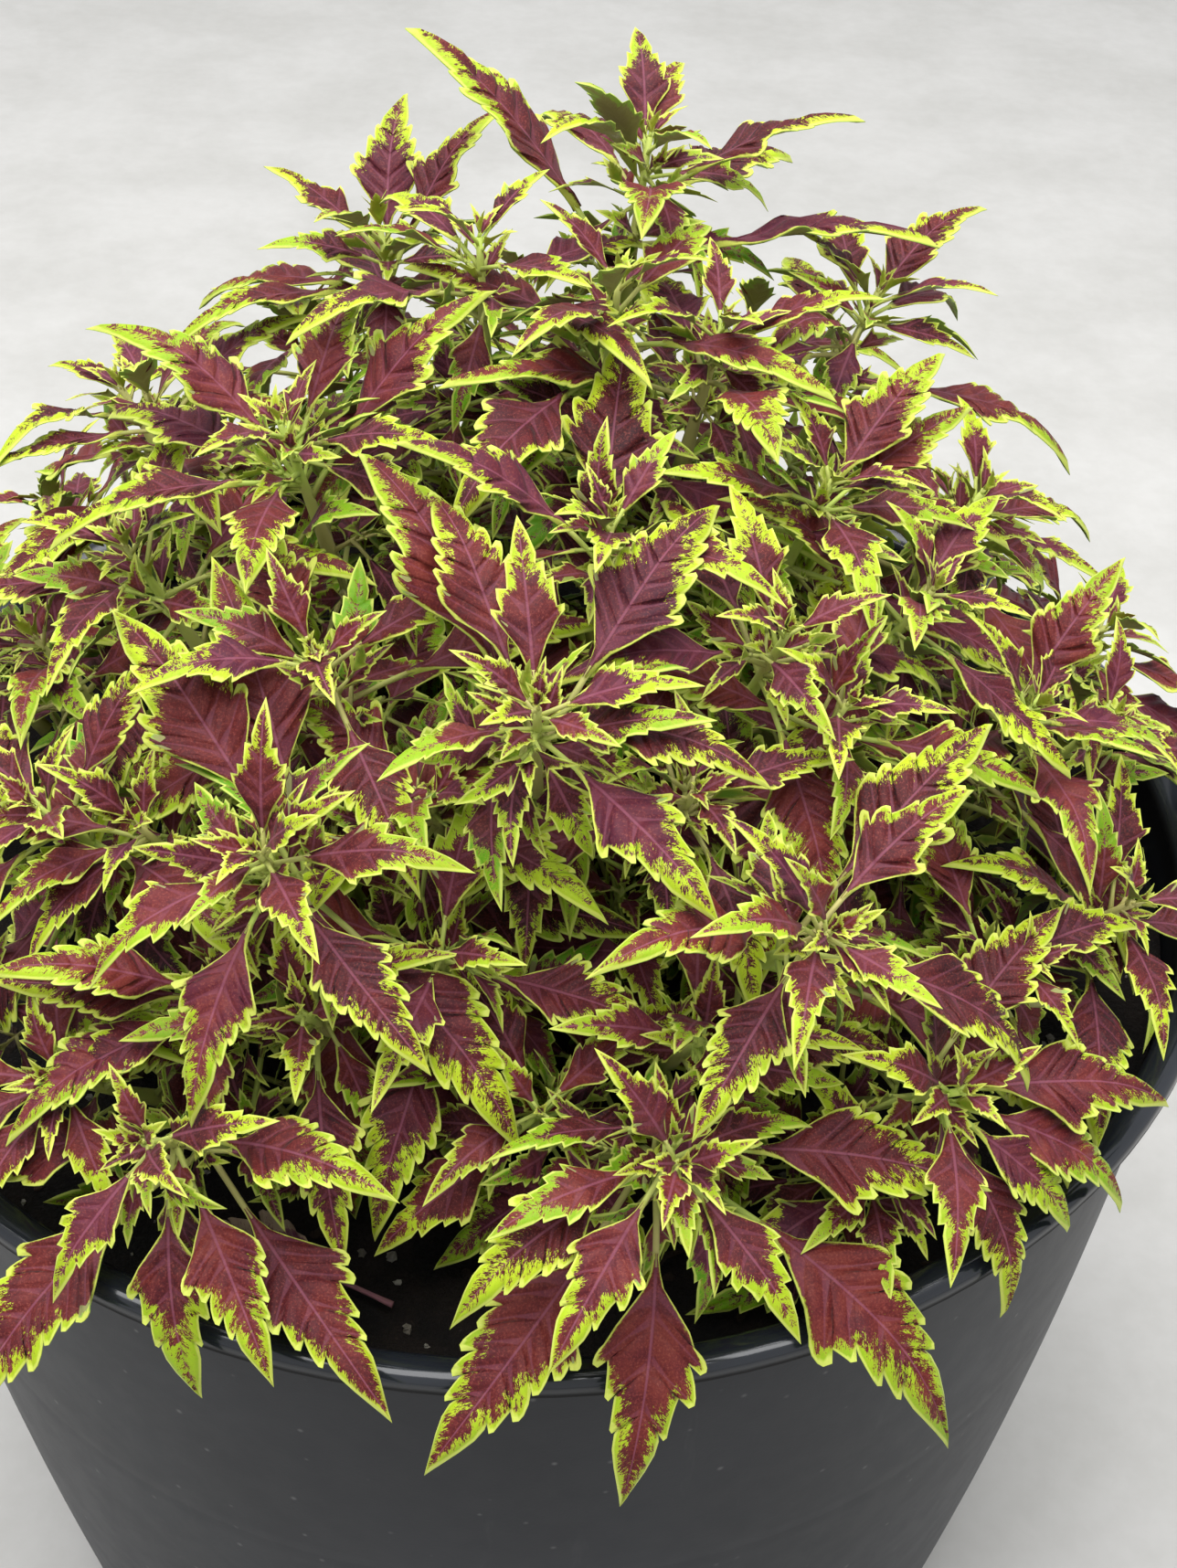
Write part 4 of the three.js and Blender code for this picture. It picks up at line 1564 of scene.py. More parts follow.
class Thicket:
    """The leaves that stand already, for telling whether another one has room. Millimetres."""

    LIMIT = 6000
    OVERHANG = 8.0
    ABOVE_MIX = 8.0
    MIX_RADIUS = 262.0
    RIM_RADII = (258.0, 284.0)
    RIM_TOP = 403.0
    REACH = 0.54

    def __init__(self, soil: float) -> None:
        """Starts empty.

        Args:
            soil: The level of the mix.
        """
        self.centres = np.zeros((self.LIMIT, 3))
        self.reaches = np.zeros(self.LIMIT)
        self.points = np.zeros((self.LIMIT, len(Leaf.GRID), 3))
        self.owners = np.zeros(self.LIMIT, int)
        self.count = 0
        self.lowest = soil + self.ABOVE_MIX
        low, high = (np.array(corner) / MM for corner in FRAME_BOX)
        self.low, self.high = low - self.OVERHANG, high + self.OVERHANG

    def is_outside(self, points: np.ndarray) -> bool:
        """Whether a leaf is in the mix or the planter, or past the plant's bounds.

        Args:
            points: The points that stand for the leaf.

        Returns:
            True if any of them is.
        """
        radius, level = np.hypot(points[:, 0], points[:, 1]), points[:, 2]
        inner, outer = self.RIM_RADII
        in_mix = (radius < self.MIX_RADIUS) & (level < self.lowest)
        in_rim = (radius > inner) & (radius < outer) & (level < self.RIM_TOP)
        return bool((in_mix | in_rim).any() or (points < self.low).any() or (points > self.high).any())

    def has_room(self, leaf: Leaf, owner: int, gap: float, own_gap: float) -> bool:
        """Whether a leaf clears all others, the mix, the planter and the plant's bounds.

        Args:
            leaf: The leaf.
            owner: The number of its shoot.
            gap: The clearance from other shoots' leaves.
            own_gap: The clearance from its own shoot's leaves.

        Returns:
            True if it has room.
        """
        points = leaf.samples()
        if self.is_outside(points):
            return False
        apart = np.linalg.norm(self.centres[:self.count] - leaf.centre(), axis=1)
        near = apart < self.reaches[:self.count] + self.REACH * leaf.blade + gap
        is_own = self.owners[:self.count] == owner
        for mask, room in ((~is_own, gap), (is_own, own_gap)):
            chosen = self.points[:self.count][near & mask].reshape(-1, 3)
            if room > 0 and len(chosen):
                square = ((points[:, None, :] - chosen[None, :, :]) ** 2).sum(axis=2)
                if square.min() < room * room:
                    return False
        return True

    def add(self, leaf: Leaf, owner: int) -> None:
        """Adds a leaf that stays.

        Args:
            leaf: The leaf.
            owner: The number of its shoot.
        """
        self.centres[self.count] = leaf.centre()
        self.reaches[self.count] = self.REACH * leaf.blade
        self.points[self.count] = leaf.samples()
        self.owners[self.count] = owner
        self.count += 1


@dataclass(frozen=True)
class Site:
    """A shoot as it grows: its number, its leaves so far, the thicket it grows in, and its luck."""

    number: int
    shoot: Shoot
    leaves: list[Leaf]
    thicket: Thicket
    chance: random.Random

    def has_room(self, leaf: Leaf, gap: float, own_gap: float) -> bool:
        """Whether a leaf has room in the thicket, by its gap to other shoots' leaves and to its own."""
        return self.thicket.has_room(leaf, self.number, gap, own_gap)

    def keep(self, *leaves: Leaf) -> None:
        """Adds leaves that stay."""
        for leaf in leaves:
            self.thicket.add(leaf, self.number)
            self.leaves.append(leaf)


@dataclass(frozen=True)
class LeafRules:
    """How leaves grow on a shoot, in millimetres and degrees."""

    framework: Framework
    full_blade: float = 85.0
    full_stalk: float = 42.5
    winged: float = 0.15
    bare_blade: float = 20.0
    grown_over: float = 30.0
    full_depth: float = 60.0
    face_lean: float = 0.6
    lowest_rise: float = -55.0
    gap: float = 4.2
    own_gap: float = 3.0
    bud_gaps: Pair = (1.5, 1.2)
    small_gap: float = 2.6
    tip_gap: float = 1.5
    axis_girth: float = 2.7
    side_girth: float = 1.1
    side_share: float = 0.85
    side_spin: float = 25.0
    side_angles: Pair = (38.0, 62.0)
    side_length: float = 7.0
    side_lengthening: float = 0.2
    side_pair_depth: float = 2.5
    side_shade: float = 0.25
    shade_depth: float = 90.0
    side_lime: float = 1.15
    lower_shade: float = 0.55
    shade_step: float = 0.15
    lower_spin: float = 3.0
    seed: int = 41

    # Length and angle of the main pairs; length, angle and depth of the buds; depth, length and angle of
    # the lower pairs; length and angle of the pairs of a side shoot.
    PAIRS = ((36, 56), (55, 74), (68, 88), (76, 98))
    BUDS = ((12, 20, 0.3), (18, 46, 1.5), (26, 62, 6), (22, 48, 18), (27, 66, 26))
    LOWER = ((76, 74, 100), (98, 70, 108), (122, 62, 104))
    SIDE_PAIRS = ((13, 22), (22, 50), (34, 74), (42, 92))
    SIDE_DEPTHS = (16, 28, 42, 58, 76, 98)
    # Turn, rise and scale of the places that a leaf tries until it has room.
    SHIFTS = (
        (0, 0, 1), (0, 7, 1), (0, -7, 1), (8, 0, 1), (-8, 0, 1), (0, 14, 1), (0, -14, 1), (12, 10, 0.95),
        (-12, 10, 0.95), (12, -12, 0.95), (-12, -12, 0.95), (0, 20, 0.85), (0, -20, 0.85), (18, 0, 0.8),
        (-18, 0, 0.8), (0, 28, 0.7), (0, 0, 0.6),
    )

    def leaf(self, root: Vector, axis: Vector, along: Vector, blade: float, chance: random.Random) -> Leaf:
        """One leaf with its own small irregularities.

        Args:
            root: Where it is attached.
            axis: The direction of the axis there.
            along: The leaf's heading.
            blade: The length of its blade.
            chance: The source of the irregularities.

        Returns:
            The leaf.
        """
        grown = max(0.0, min(1.0, (blade - self.bare_blade) / self.grown_over))
        face = UP * grown + axis * (1 - (1 - self.face_lean) * grown)
        stalk = self.full_stalk * (blade / self.full_blade) ** 2
        wing = self.winged * stalk
        young = 1 - grown
        return Leaf(
            root=root,
            along=along,
            face=(face - along * face.dot(along)).normalized(),
            blade=blade + wing,
            stalk=stalk - wing + 1.0,
            girth=0.5 + 0.65 * blade / self.full_blade,
            arch=0.07 + chance.uniform(-0.02, 0.03) + 0.02 * young,
            cup=0.16 + chance.uniform(-0.12, 0.1) + 0.25 * young,
            curl=chance.uniform(0.0, 0.9) * grown,
            twist=math.radians(chance.uniform(-14, 14)),
            sway=chance.uniform(-0.04, 0.04),
            wave=chance.uniform(0.1, 0.27),
            phase=chance.uniform(0, 6.28),
            tone=chance.random(),
            lime=(1.55 + 1.9 * chance.random() ** 1.4) * (0.42 + 0.58 * grown),
            own=chance.random(),
        )

    def axis_leaf(self, foot: Vector, direction: Vector, length: float, girth: float) -> Leaf:
        """The values of a shoot's bare axis, which is shaped as a leaf is."""
        face = direction.orthogonal().normalized()
        return Leaf(root=foot, along=direction, face=face, blade=0.5, stalk=length, girth=girth, lime=1.0)

    def wanted(self, shoot: Shoot) -> list[Triple]:
        """Lists the main leaves that a shoot should have.

        Args:
            shoot: The shoot.

        Returns:
            The turn, rise and blade length of each leaf.
        """
        if shoot.leaves:
            return list(shoot.leaves)
        made = []
        for order, (blade, angle) in enumerate(self.PAIRS):
            for half in (0, 180):
                along = splayed(shoot.direction, shoot.twist + order * 90 + half, angle)
                rise = math.degrees(math.asin(along.z))
                turn = math.degrees(math.atan2(along.y, along.x))
                made.append((turn, max(self.lowest_rise, rise), blade * shoot.size))
        return made

    def main_leaves(self, site: Site) -> None:
        """Grows the main leaves, each shifted until it clears its neighbours.

        Args:
            site: The shoot that grows them.
        """
        shoot, chance = site.shoot, site.chance
        for turn, rise, blade in self.wanted(shoot):
            state = chance.getstate()
            for turned, raised, scaled in self.SHIFTS:
                chance.setstate(state)
                size = blade * scaled
                depth = min(self.full_depth, self.full_depth * (size / self.full_blade) ** 3)
                root = shoot.crown - shoot.direction * depth
                leaf = self.leaf(root, shoot.direction, heading(turn + turned, rise + raised), size, chance)
                if site.has_room(leaf, self.gap, 0 if shoot.leaves else self.own_gap):
                    site.keep(leaf)
                    break

    def bud_leaves(self, site: Site) -> None:
        """Grows the youngest pairs, which stand round the tip.

        Args:
            site: The shoot that grows them.
        """
        shoot, chance = site.shoot, site.chance
        spin = chance.uniform(0, 180) if shoot.leaves else shoot.twist
        for order, (blade, angle, depth) in enumerate(self.BUDS):
            for half in (0, 180):
                turned = spin + (order + 1) * 90 + half + chance.uniform(-8, 8)
                along = splayed(shoot.direction, turned, angle + chance.uniform(-5, 5))
                size = blade * shoot.size * chance.uniform(0.85, 1.1)
                root = shoot.crown - shoot.direction * depth
                leaf = self.leaf(root, shoot.direction, along, size, chance)
                if not order or site.has_room(leaf, *self.bud_gaps):
                    site.keep(leaf)

    def lower_leaves(self, site: Site) -> None:
        """Grows old leaves below a shoot, which fill the plant's inside.

        Args:
            site: The shoot that grows them.
        """
        shoot = site.shoot
        for order, (depth, blade, angle) in enumerate(self.LOWER):
            at, axis = self.framework.station(shoot, depth * shoot.size)
            for half in (0, 180):
                for turned, bent, scaled in self.SHIFTS:
                    spin = shoot.twist + order * 90 + half + self.lower_spin * turned
                    along = splayed(axis, spin, angle + bent)
                    leaf = self.leaf(at, axis, along, blade * shoot.size * scaled, site.chance)
                    leaf = replace(leaf, shade=self.lower_shade + self.shade_step * order)
                    if site.has_room(leaf, self.gap, self.own_gap):
                        site.keep(leaf)
                        break

    def side_shoots(self, site: Site) -> None:
        """Grows small leafy shoots in the angles of the leaves.

        Args:
            site: The shoot that grows them.
        """
        shoot, chance = site.shoot, site.chance
        for order, depth in enumerate(self.SIDE_DEPTHS):
            at, axis = self.framework.station(shoot, depth * shoot.size)
            for half in (0, 180):
                if chance.random() > self.side_share:
                    continue
                spin = shoot.twist + order * 90 + half + chance.uniform(-self.side_spin, self.side_spin)
                out = splayed(axis, spin, chance.uniform(*self.side_angles))
                length = (self.side_length + self.side_lengthening * depth) * chance.uniform(0.7, 1.3)
                leaves = self.side_leaves(site, at + out * length, out, length, depth)
                if leaves:
                    site.keep(*leaves)
                    site.leaves.append(self.axis_leaf(at, out, length, self.side_girth))

    def side_leaves(self, site: Site, tip: Vector, out: Vector, length: float, depth: float) -> list[Leaf]:
        """The leaves of one side shoot.

        Args:
            site: The shoot that carries it.
            tip: Its tip.
            out: Its direction.
            length: Its length.
            depth: How far below the crown it stands.

        Returns:
            The leaves that have room.
        """
        chance, made = site.chance, []
        turned = chance.uniform(0, 180)
        for pair, (blade, angle) in enumerate(self.SIDE_PAIRS):
            for half in (0, 180):
                size = blade * chance.uniform(0.8, 1.2)
                along = splayed(out, turned + pair * 90 + half, angle + chance.uniform(-8, 8))
                root = tip - out * min(length, self.side_pair_depth * pair)
                leaf = self.leaf(root, out, along, size, chance)
                shade = min(1.0, self.side_shade + depth / self.shade_depth)
                leaf = replace(leaf, shade=shade, lime=leaf.lime * self.side_lime)
                if site.has_room(leaf, self.small_gap, self.small_gap if pair else self.tip_gap):
                    made.append(leaf)
        return made

    def plan(self, shoots: list[Shoot]) -> list[list[Leaf]]:
        """Grows every shoot, the main leaves of all of them first.

        Args:
            shoots: The shoots that are pieces of their own.

        Returns:
            The leaves of each of them, with those of its fillers.
        """
        thicket, chance = Thicket(self.framework.soil), random.Random(self.seed)
        sites = [Site(i, shoot, [], thicket, chance) for i, shoot in enumerate([*shoots, *FILLERS])]
        for rule in (self.main_leaves, self.bud_leaves, self.lower_leaves, self.side_shoots):
            for site in sites:
                rule(site)
        for site in sites:
            shoot = site.shoot
            site.leaves.append(self.axis_leaf(shoot.foot, shoot.direction, shoot.length, self.axis_girth))
        for site in sites[len(shoots):]:
            sites[site.shoot.joins - 1].leaves.extend(site.leaves)
        return [site.leaves for site in sites[:len(shoots)]]


@dataclass(frozen=True)
class Foliage:
    """Turns planned leaves into pieces."""

    rules: LeafRules
    tree: LeafTree
    library: ShapeLibrary
    fine_from: float = 56.0
    plain_from: float = 28.0
    near_side: float = -80.0
    width_ratio: float = 0.43
    thickness_ratio: float = 0.0095
    margin_waves: float = 17.0

    # What the leaf tree reads and no finish does.
    SPARE = {*VALUES, *DIRECTIONS, "grid", "shape"} - {"blade", "tone", "lime", "shade"}

    def detail(self, leaf: Leaf) -> Detail:
        """How finely a leaf is modelled.

        Args:
            leaf: The leaf.

        Returns:
            The detail: more for a large leaf, or a crown's leaf on the near side.
        """
        if leaf.blade >= self.fine_from:
            return Detail.FINE
        is_crown = not leaf.shade and leaf.root.y < self.near_side
        return Detail.PLAIN if leaf.blade >= self.plain_from or is_crown else Detail.SMALL

    def shape(self, leaf: Leaf, chance: random.Random) -> int:
        """Picks the shape of a leaf.

        Args:
            leaf: The leaf.
            chance: The source of the choice.

        Returns:
            Its number in the library, where the axes come last.
        """
        if leaf.blade > 1:
            return self.library.pick(self.detail(leaf), chance)
        return len(self.library.details) + (leaf.girth < self.rules.axis_girth)

    def grow(self, leaves: list[Leaf], name: str, material: Material) -> bpy.types.Object:
        """Turns leaves into one piece.

        Args:
            leaves: The leaves.
            name: The piece's name.
            material: The finish.

        Returns:
            The piece, as a plain mesh.
        """
        chance = random.Random(name)
        source = make_mesh("leaf_points", [leaf.root for leaf in leaves])
        for key in DIRECTIONS:
            write(source, key, "FLOAT_VECTOR", [tuple(getattr(leaf, key)) for leaf in leaves])
        for key in VALUES:
            write(source, key, "FLOAT", [getattr(leaf, key) for leaf in leaves])
        write(source, "shape", "INT", [self.shape(leaf, chance) for leaf in leaves])
        values = {"Shapes": self.library.collection, "Material": material}
        for key in ("width_ratio", "thickness_ratio", "margin_waves"):
            values[key.replace("_", " ").title()] = getattr(self, key)
        piece = self.tree.bake(source, name, values)
        for key in [each.name for each in piece.data.attributes if each.name in self.SPARE]:
            piece.data.attributes.remove(piece.data.attributes[key])
        return piece

    def build(self, material: Material) -> None:
        """Makes every leafy shoot.

        Args:
            material: The finish.
        """
        for number, leaves in enumerate(self.rules.plan(plan_shoots()), 1):
            piece = self.grow(leaves, f"leafy_shoot_{number:02d}", material)
            adopt(piece, "leaf", f"shoot_{number:02d}")


@dataclass(frozen=True)
class ShedLeaf:
    """A faded leaf that lies upside down on the mix."""

    at: Pair = (-33.0, -231.0)
    turn: float = 160.0
    rise: float = 4.0
    blade: float = 62.0
    rest: float = 2.6
    seed: int = 5

    def build(self, foliage: Foliage, material: Material) -> None:
        """Makes the leaf.

        Args:
            foliage: What shapes it.
            material: The finish.
        """
        low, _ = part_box("shed_leaf")
        root = Vector((*self.at, low.z / MM + self.rest))
        along = heading(self.turn, self.rise)
        leaf = foliage.rules.leaf(root, UP, along, self.blade, random.Random(self.seed))
        face = (along * UP.dot(along) - UP).normalized()
        leaf = replace(leaf, face=face, arch=0.0, cup=-0.1, curl=-0.2, wave=0.22, lime=3.4, twist=0.1)
        adopt(foliage.grow([leaf], "faded_leaf", material), "shed", "shed_leaf")


# ------------------------------------------------------------------ planter, mix and stem


@dataclass(frozen=True)
class Wall:
    """The planter's outer wall: its radius falls away from the rim, faster further down. Millimetres."""

    rim_level: float = 400.0
    rim_radius: float = 280.0
    top_share: float = 0.97
    taper: float = 0.05
    bulge: float = 0.043

    def radius(self, height: float) -> float:
        """The radius at a height."""
        depth = (self.rim_level - height) / self.rim_radius
        return self.rim_radius * (self.top_share - self.taper * depth - self.bulge * depth * depth)


WALL = Wall()


def turned_points(profile: list[Pair], segments: int) -> tuple[list, list[list[int]]]:
    """The points of a surface of revolution.

    Args:
        profile: Radius and height in millimetres.
        segments: The number of segments.

    Returns:
        The points in metres, and the numbers of the points of each ring.
    """
    points, rings = [], []
    for radius, height in profile:
        count = segments if radius else 1
        turns = [2 * math.pi * i / segments for i in range(count)]
        rings.append(list(range(len(points), len(points) + count)))
        points += [(radius * math.cos(t) * MM, radius * math.sin(t) * MM, height * MM) for t in turns]
    return points, rings


@dataclass(frozen=True)
class Planter:
    """The round planter: a tapering wall with a faint moulded ring, a rolled rim and drain holes."""

    thickness: float = 5.0
    floor: float = 7.0
    foot: float = 5.0
    ring_depth: float = 0.16
    segments: int = 144
    hole_radius: float = 14.0
    hole_circle: float = 198.0
    hole_turn: float = 73.0
    hole_count: int = 4
    hole_sides: int = 24
    hole_levels: Pair = (-10.0, 20.0)
    sharp_angle: float = math.radians(50)

    UNDERSIDE = (0, 60, 120, 170)
    FOOT_ANGLES = (1.57, 1.2, 0.8, 0.4, 0.0)
    LOWER_LEVELS = (*range(20, 240, 20), 236, 244)
    RING_LEVELS = ((247.5, 0), (251.2, 1), (252.8, 1), (256.5, 0))
    UPPER_LEVELS = (260, 275, 295, 315, 335, 355, 372, 384, 388)
    INNER_LEVELS = (380, 350, 300, 240, 180, 120, 60, 14)
    # Places of the corner inside, from the wall's foot, and of the rim, from its radius and level.
    CORNER = ((-1.5, 2.5), (-5.0, 0.0))
    RIM = (
        (-9.0, -10.8), (-9.4, -9.2), (-7.6, -8.0), (-1.8, -7.75), (-0.4, -7.3), (0.0, -5.8), (0.0, -4.0),
        (-0.4, -2.4), (-1.4, -1.1), (-2.8, -0.3), (-4.4, 0.0), (-6.2, -0.5), (-8.6, -1.5), (-11.4, -2.9),
        (-13.4, -4.6), (-13.9, -7.0),
    )

    def profile(self) -> list[Pair]:
        """Draws the section, from the axis below, up the outside, over the rim and down the inside.

        Returns:
            Radius and height of each point, in millimetres.
        """
        outer = [(radius, 0) for radius in self.UNDERSIDE]
        for angle in self.FOOT_ANGLES:
            rise = self.foot * (1 - math.sin(angle))
            outer.append((WALL.radius(rise) - self.foot * (1 - math.cos(angle)), max(rise, 0.0)))
        outer += [(WALL.radius(level), level) for level in self.LOWER_LEVELS]
        outer += [(WALL.radius(level) - self.ring_depth * share, level) for level, share in self.RING_LEVELS]
        outer += [(WALL.radius(level), level) for level in self.UPPER_LEVELS]
        rim = [(WALL.rim_radius + inset, WALL.rim_level + rise) for inset, rise in self.RIM]
        inner = [(WALL.radius(level) - self.thickness, level) for level in self.INNER_LEVELS]
        base = WALL.radius(self.floor) - self.thickness
        corner = [(base + inset, self.floor + rise) for inset, rise in self.CORNER]
        return outer + rim + inner + corner + [(120, self.floor), (0, self.floor)]

    def drills(self) -> Mesh:
        """Makes the bars that are taken out of the floor.

        Returns:
            The bars as one mesh, in metres.
        """
        points, faces = [], []
        for hole in range(self.hole_count):
            middle = heading(self.hole_turn + 360 * hole / self.hole_count) * self.hole_circle
            rings = []
            for level in self.hole_levels:
                rings.append(list(range(len(points), len(points) + self.hole_sides)))
                for i in range(self.hole_sides):
                    reach = heading(360 * i / self.hole_sides) * self.hole_radius
                    points.append((middle + reach + UP * level) * MM)
            faces += [*ring_faces(rings), tuple(rings[0][::-1]), tuple(rings[1])]
        return make_mesh("drills", points, faces)

    def build(self, finish: Material) -> None:
        """Makes the planter and cuts its drain holes.

        Args:
            finish: The material.
        """
        points, rings = turned_points(self.profile(), self.segments)
        body = place(make_mesh("planter_solid", points, ring_faces(rings), smooth=True), "planter_solid")
        drill = place(self.drills(), "drills")
        cut = body.modifiers.new("Drain holes", "BOOLEAN")
        cut.object, cut.operation, cut.solver = drill, "DIFFERENCE", "EXACT"
        mesh = take_mesh(body)
        bpy.data.objects.remove(drill)
        mesh.materials.clear()
        mesh.materials.append(finish)
        mesh.set_sharp_from_angle(angle=self.sharp_angle)
        adopt(place(mesh, "planter_body"), "planter", "planter")


@dataclass(frozen=True)
class PottingMix:
    """The lumpy surface of the mix and the solid mass under it."""

    level: float = 368.0
    mound: float = 6.0
    shoulder: float = 160.0
    shoulder_rise: float = 0.7
    inset: float = 5.7
    bottom: float = 7.3
    sink: float = 1.2
    lump: float = 2.2
    fade_over: float = 6.0
    least_fade: float = 0.25
    ring_power: float = 0.9
    segments: int = 132
    rings: int = 44

    # Size and strength of the lumps.
    LUMPS = ((23.0, 0.9), (7.0, 0.8), (3.1, 0.45))
    SIDE_LEVELS = (300, 200, 100)

    @property
    def edge(self) -> float:
        """The radius of the surface."""
        return WALL.radius(self.level) - self.inset

    def height(self, radius: float) -> float:
        """The smooth height of the mound.

        Args:
            radius: The distance from the axis.

        Returns:
            The height there.
        """
        top, shoulder = self.level + self.mound, self.level + self.mound * self.shoulder_rise
        if radius < self.shoulder:
            return top + (shoulder - top) * radius / self.shoulder
        return shoulder + (self.level - shoulder) * (radius - self.shoulder) / (self.edge - self.shoulder)

    def surface_point(self, radius: float, turn: float) -> Vector:
        """A point of the lumpy surface.

        Args:
            radius: Its distance from the axis.
            turn: Its turn about the axis.

        Returns:
            The point, in metres.
        """
        at = Vector((radius * math.cos(turn), radius * math.sin(turn), 0))
        coarse = sum(noise.noise(at / size) * strength for size, strength in self.LUMPS)
        fade = min(1.0, (self.edge - radius) / self.fade_over + self.least_fade)
        return (at + UP * (self.height(radius) - self.sink + self.lump * coarse * fade)) * MM

    def build(self, finish: Material) -> Mesh:
        """Makes the mix.

        Args:
            finish: The material.

        Returns:
            The upper surface alone, on which loose crumbs are strewn.
        """
        turns = [2 * math.pi * i / self.segments for i in range(self.segments)]
        points = [self.surface_point(0, 0)]
        for ring in range(1, self.rings + 1):
            radius = self.edge * (ring / self.rings) ** self.ring_power
            points += [self.surface_point(radius, turn) for turn in turns]
        for level in (*self.SIDE_LEVELS, self.bottom):
            radius = WALL.radius(level) - self.inset
            points += [Vector((radius * math.cos(t), radius * math.sin(t), level)) * MM for t in turns]
        points.append(Vector((0, 0, self.bottom)) * MM)
        starts = range(1, len(points) - 1, self.segments)
        rings = [[0], *(list(range(start, start + self.segments)) for start in starts), [len(points) - 1]]
        mesh = make_mesh("potting_mix_body", points, ring_faces(rings, flip=True), smooth=True)
        mesh.materials.append(finish)
        adopt(place(mesh, "potting_mix_body"), "mix", "potting_mix")
        return make_mesh("mix_surface", points, ring_faces(rings[:self.rings + 1], flip=True))


@dataclass(frozen=True)
class Crumbs:
    """Bark chips and perlite grains strewn on the mix."""

    density: float = 5400.0
    seed: int = 7
    smallest: float = 0.6
    largest: float = 1.5
    sides: int = 5
    tilt: float = 0.4
    chips: int = 3

    # Sizes in millimetres, those of the bark chips first; levels and reaches of a lump's rings.
    SIZES = ((4.2, 2.0, 0.9), (2.6, 1.7, 1.0), (6.0, 1.1, 0.8), (2.2, 1.8, 1.4), (1.3, 1.1, 1.1))
    LEVELS = ((-0.8, 0.6), (0.1, 1.0), (0.9, 0.55))

    def shapes(self) -> Collection:
        """Makes three chips and two grains, as low-sided lumps.

        Returns:
            The collection that holds them.
        """
        made = bpy.data.collections.new("crumb_shapes")
        chance = random.Random(self.seed)
        starts = range(0, self.sides * len(self.LEVELS), self.sides)
        rings = [list(range(start, start + self.sides)) for start in starts]
        faces = [*ring_faces(rings), tuple(rings[0][::-1]), tuple(rings[-1])]
        for number, size in enumerate(self.SIZES):
            points = []
            for level, reach in self.LEVELS:
                for i in range(self.sides):
                    turn = 2 * math.pi * (i + 0.5 * level) / self.sides
                    wide = reach * chance.uniform(0.55, 1.25)
                    point = (wide * math.cos(turn), wide * math.sin(turn), level * chance.uniform(0.8, 1.15))
                    points.append([c * s * MM for c, s in zip(point, size)])
            mesh = make_mesh("crumb", points, faces)
            write(mesh, "pale", "FLOAT", [float(number >= self.chips)] * len(points))
            made.objects.link(bpy.data.objects.new(f"crumb_{number}", mesh))
        return made

    def tree(self) -> GeometryGraph:
        """Builds the tree that strews crumbs over a surface.

        Returns:
            The tree's graph.
        """
        sizes = {"Density": float, "Seed": int, "Smallest": float, "Largest": float}
        inputs = {"Crumbs": Collection, **sizes, "Material": Material}
        graph = GeometryGraph("Strewn crumbs", inputs)
        feeds = {key: graph.given(key) for key in ("Density", "Seed")}
        feeds["Mesh"] = graph.source.outputs["Geometry"]
        spots = graph.made("GeometryNodeDistributePointsOnFaces", feeds)
        pick = self._random(graph, "INT", 0, len(self.SIZES) - 1, 1)
        turns = ((-self.tilt, -self.tilt, 0), (self.tilt, self.tilt, 6.28))
        spin = self._random(graph, "FLOAT_VECTOR", *turns, 2)
        size = self._random(graph, "FLOAT", graph.given("Smallest"), graph.given("Largest"), 3)
        graph.end(graph.instances(spots, "Crumbs", pick, Rotation=spin, Scale=size))
        return graph

    def _random(self, graph: Graph, kind: str, low: object, high: object, seed: int) -> bpy.types.NodeSocket:
        """A random value for each crumb.

        Args:
            graph: The graph that gets the node.
            kind: INT, FLOAT or FLOAT_VECTOR.
            low: Its least value.
            high: Its greatest value.
            seed: What sets it apart from the other random values.

        Returns:
            The output.
        """
        made = graph.wire("FunctionNodeRandomValue", {"Seed": seed}, data_type=kind)
        ends = [socket for socket in made.inputs if socket.enabled and socket.name in ("Min", "Max")]
        for socket, value in zip(ends, (low, high)):
            graph.feed(socket, value)
        return next(socket for socket in made.outputs if socket.enabled)

    def build(self, surface: Mesh, finish: Material) -> None:
        """Strews the crumbs.

        Args:
            surface: The mix's upper surface.
            finish: The material.
        """
        shapes = self.shapes()
        values = {"Crumbs": shapes, "Material": finish}
        for key in ("density", "seed", "smallest", "largest"):
            values[key.title()] = getattr(self, key)
        piece = self.tree().bake(surface, "bark_and_perlite", values)
        clear_away(shapes)
        adopt(piece, "mix")


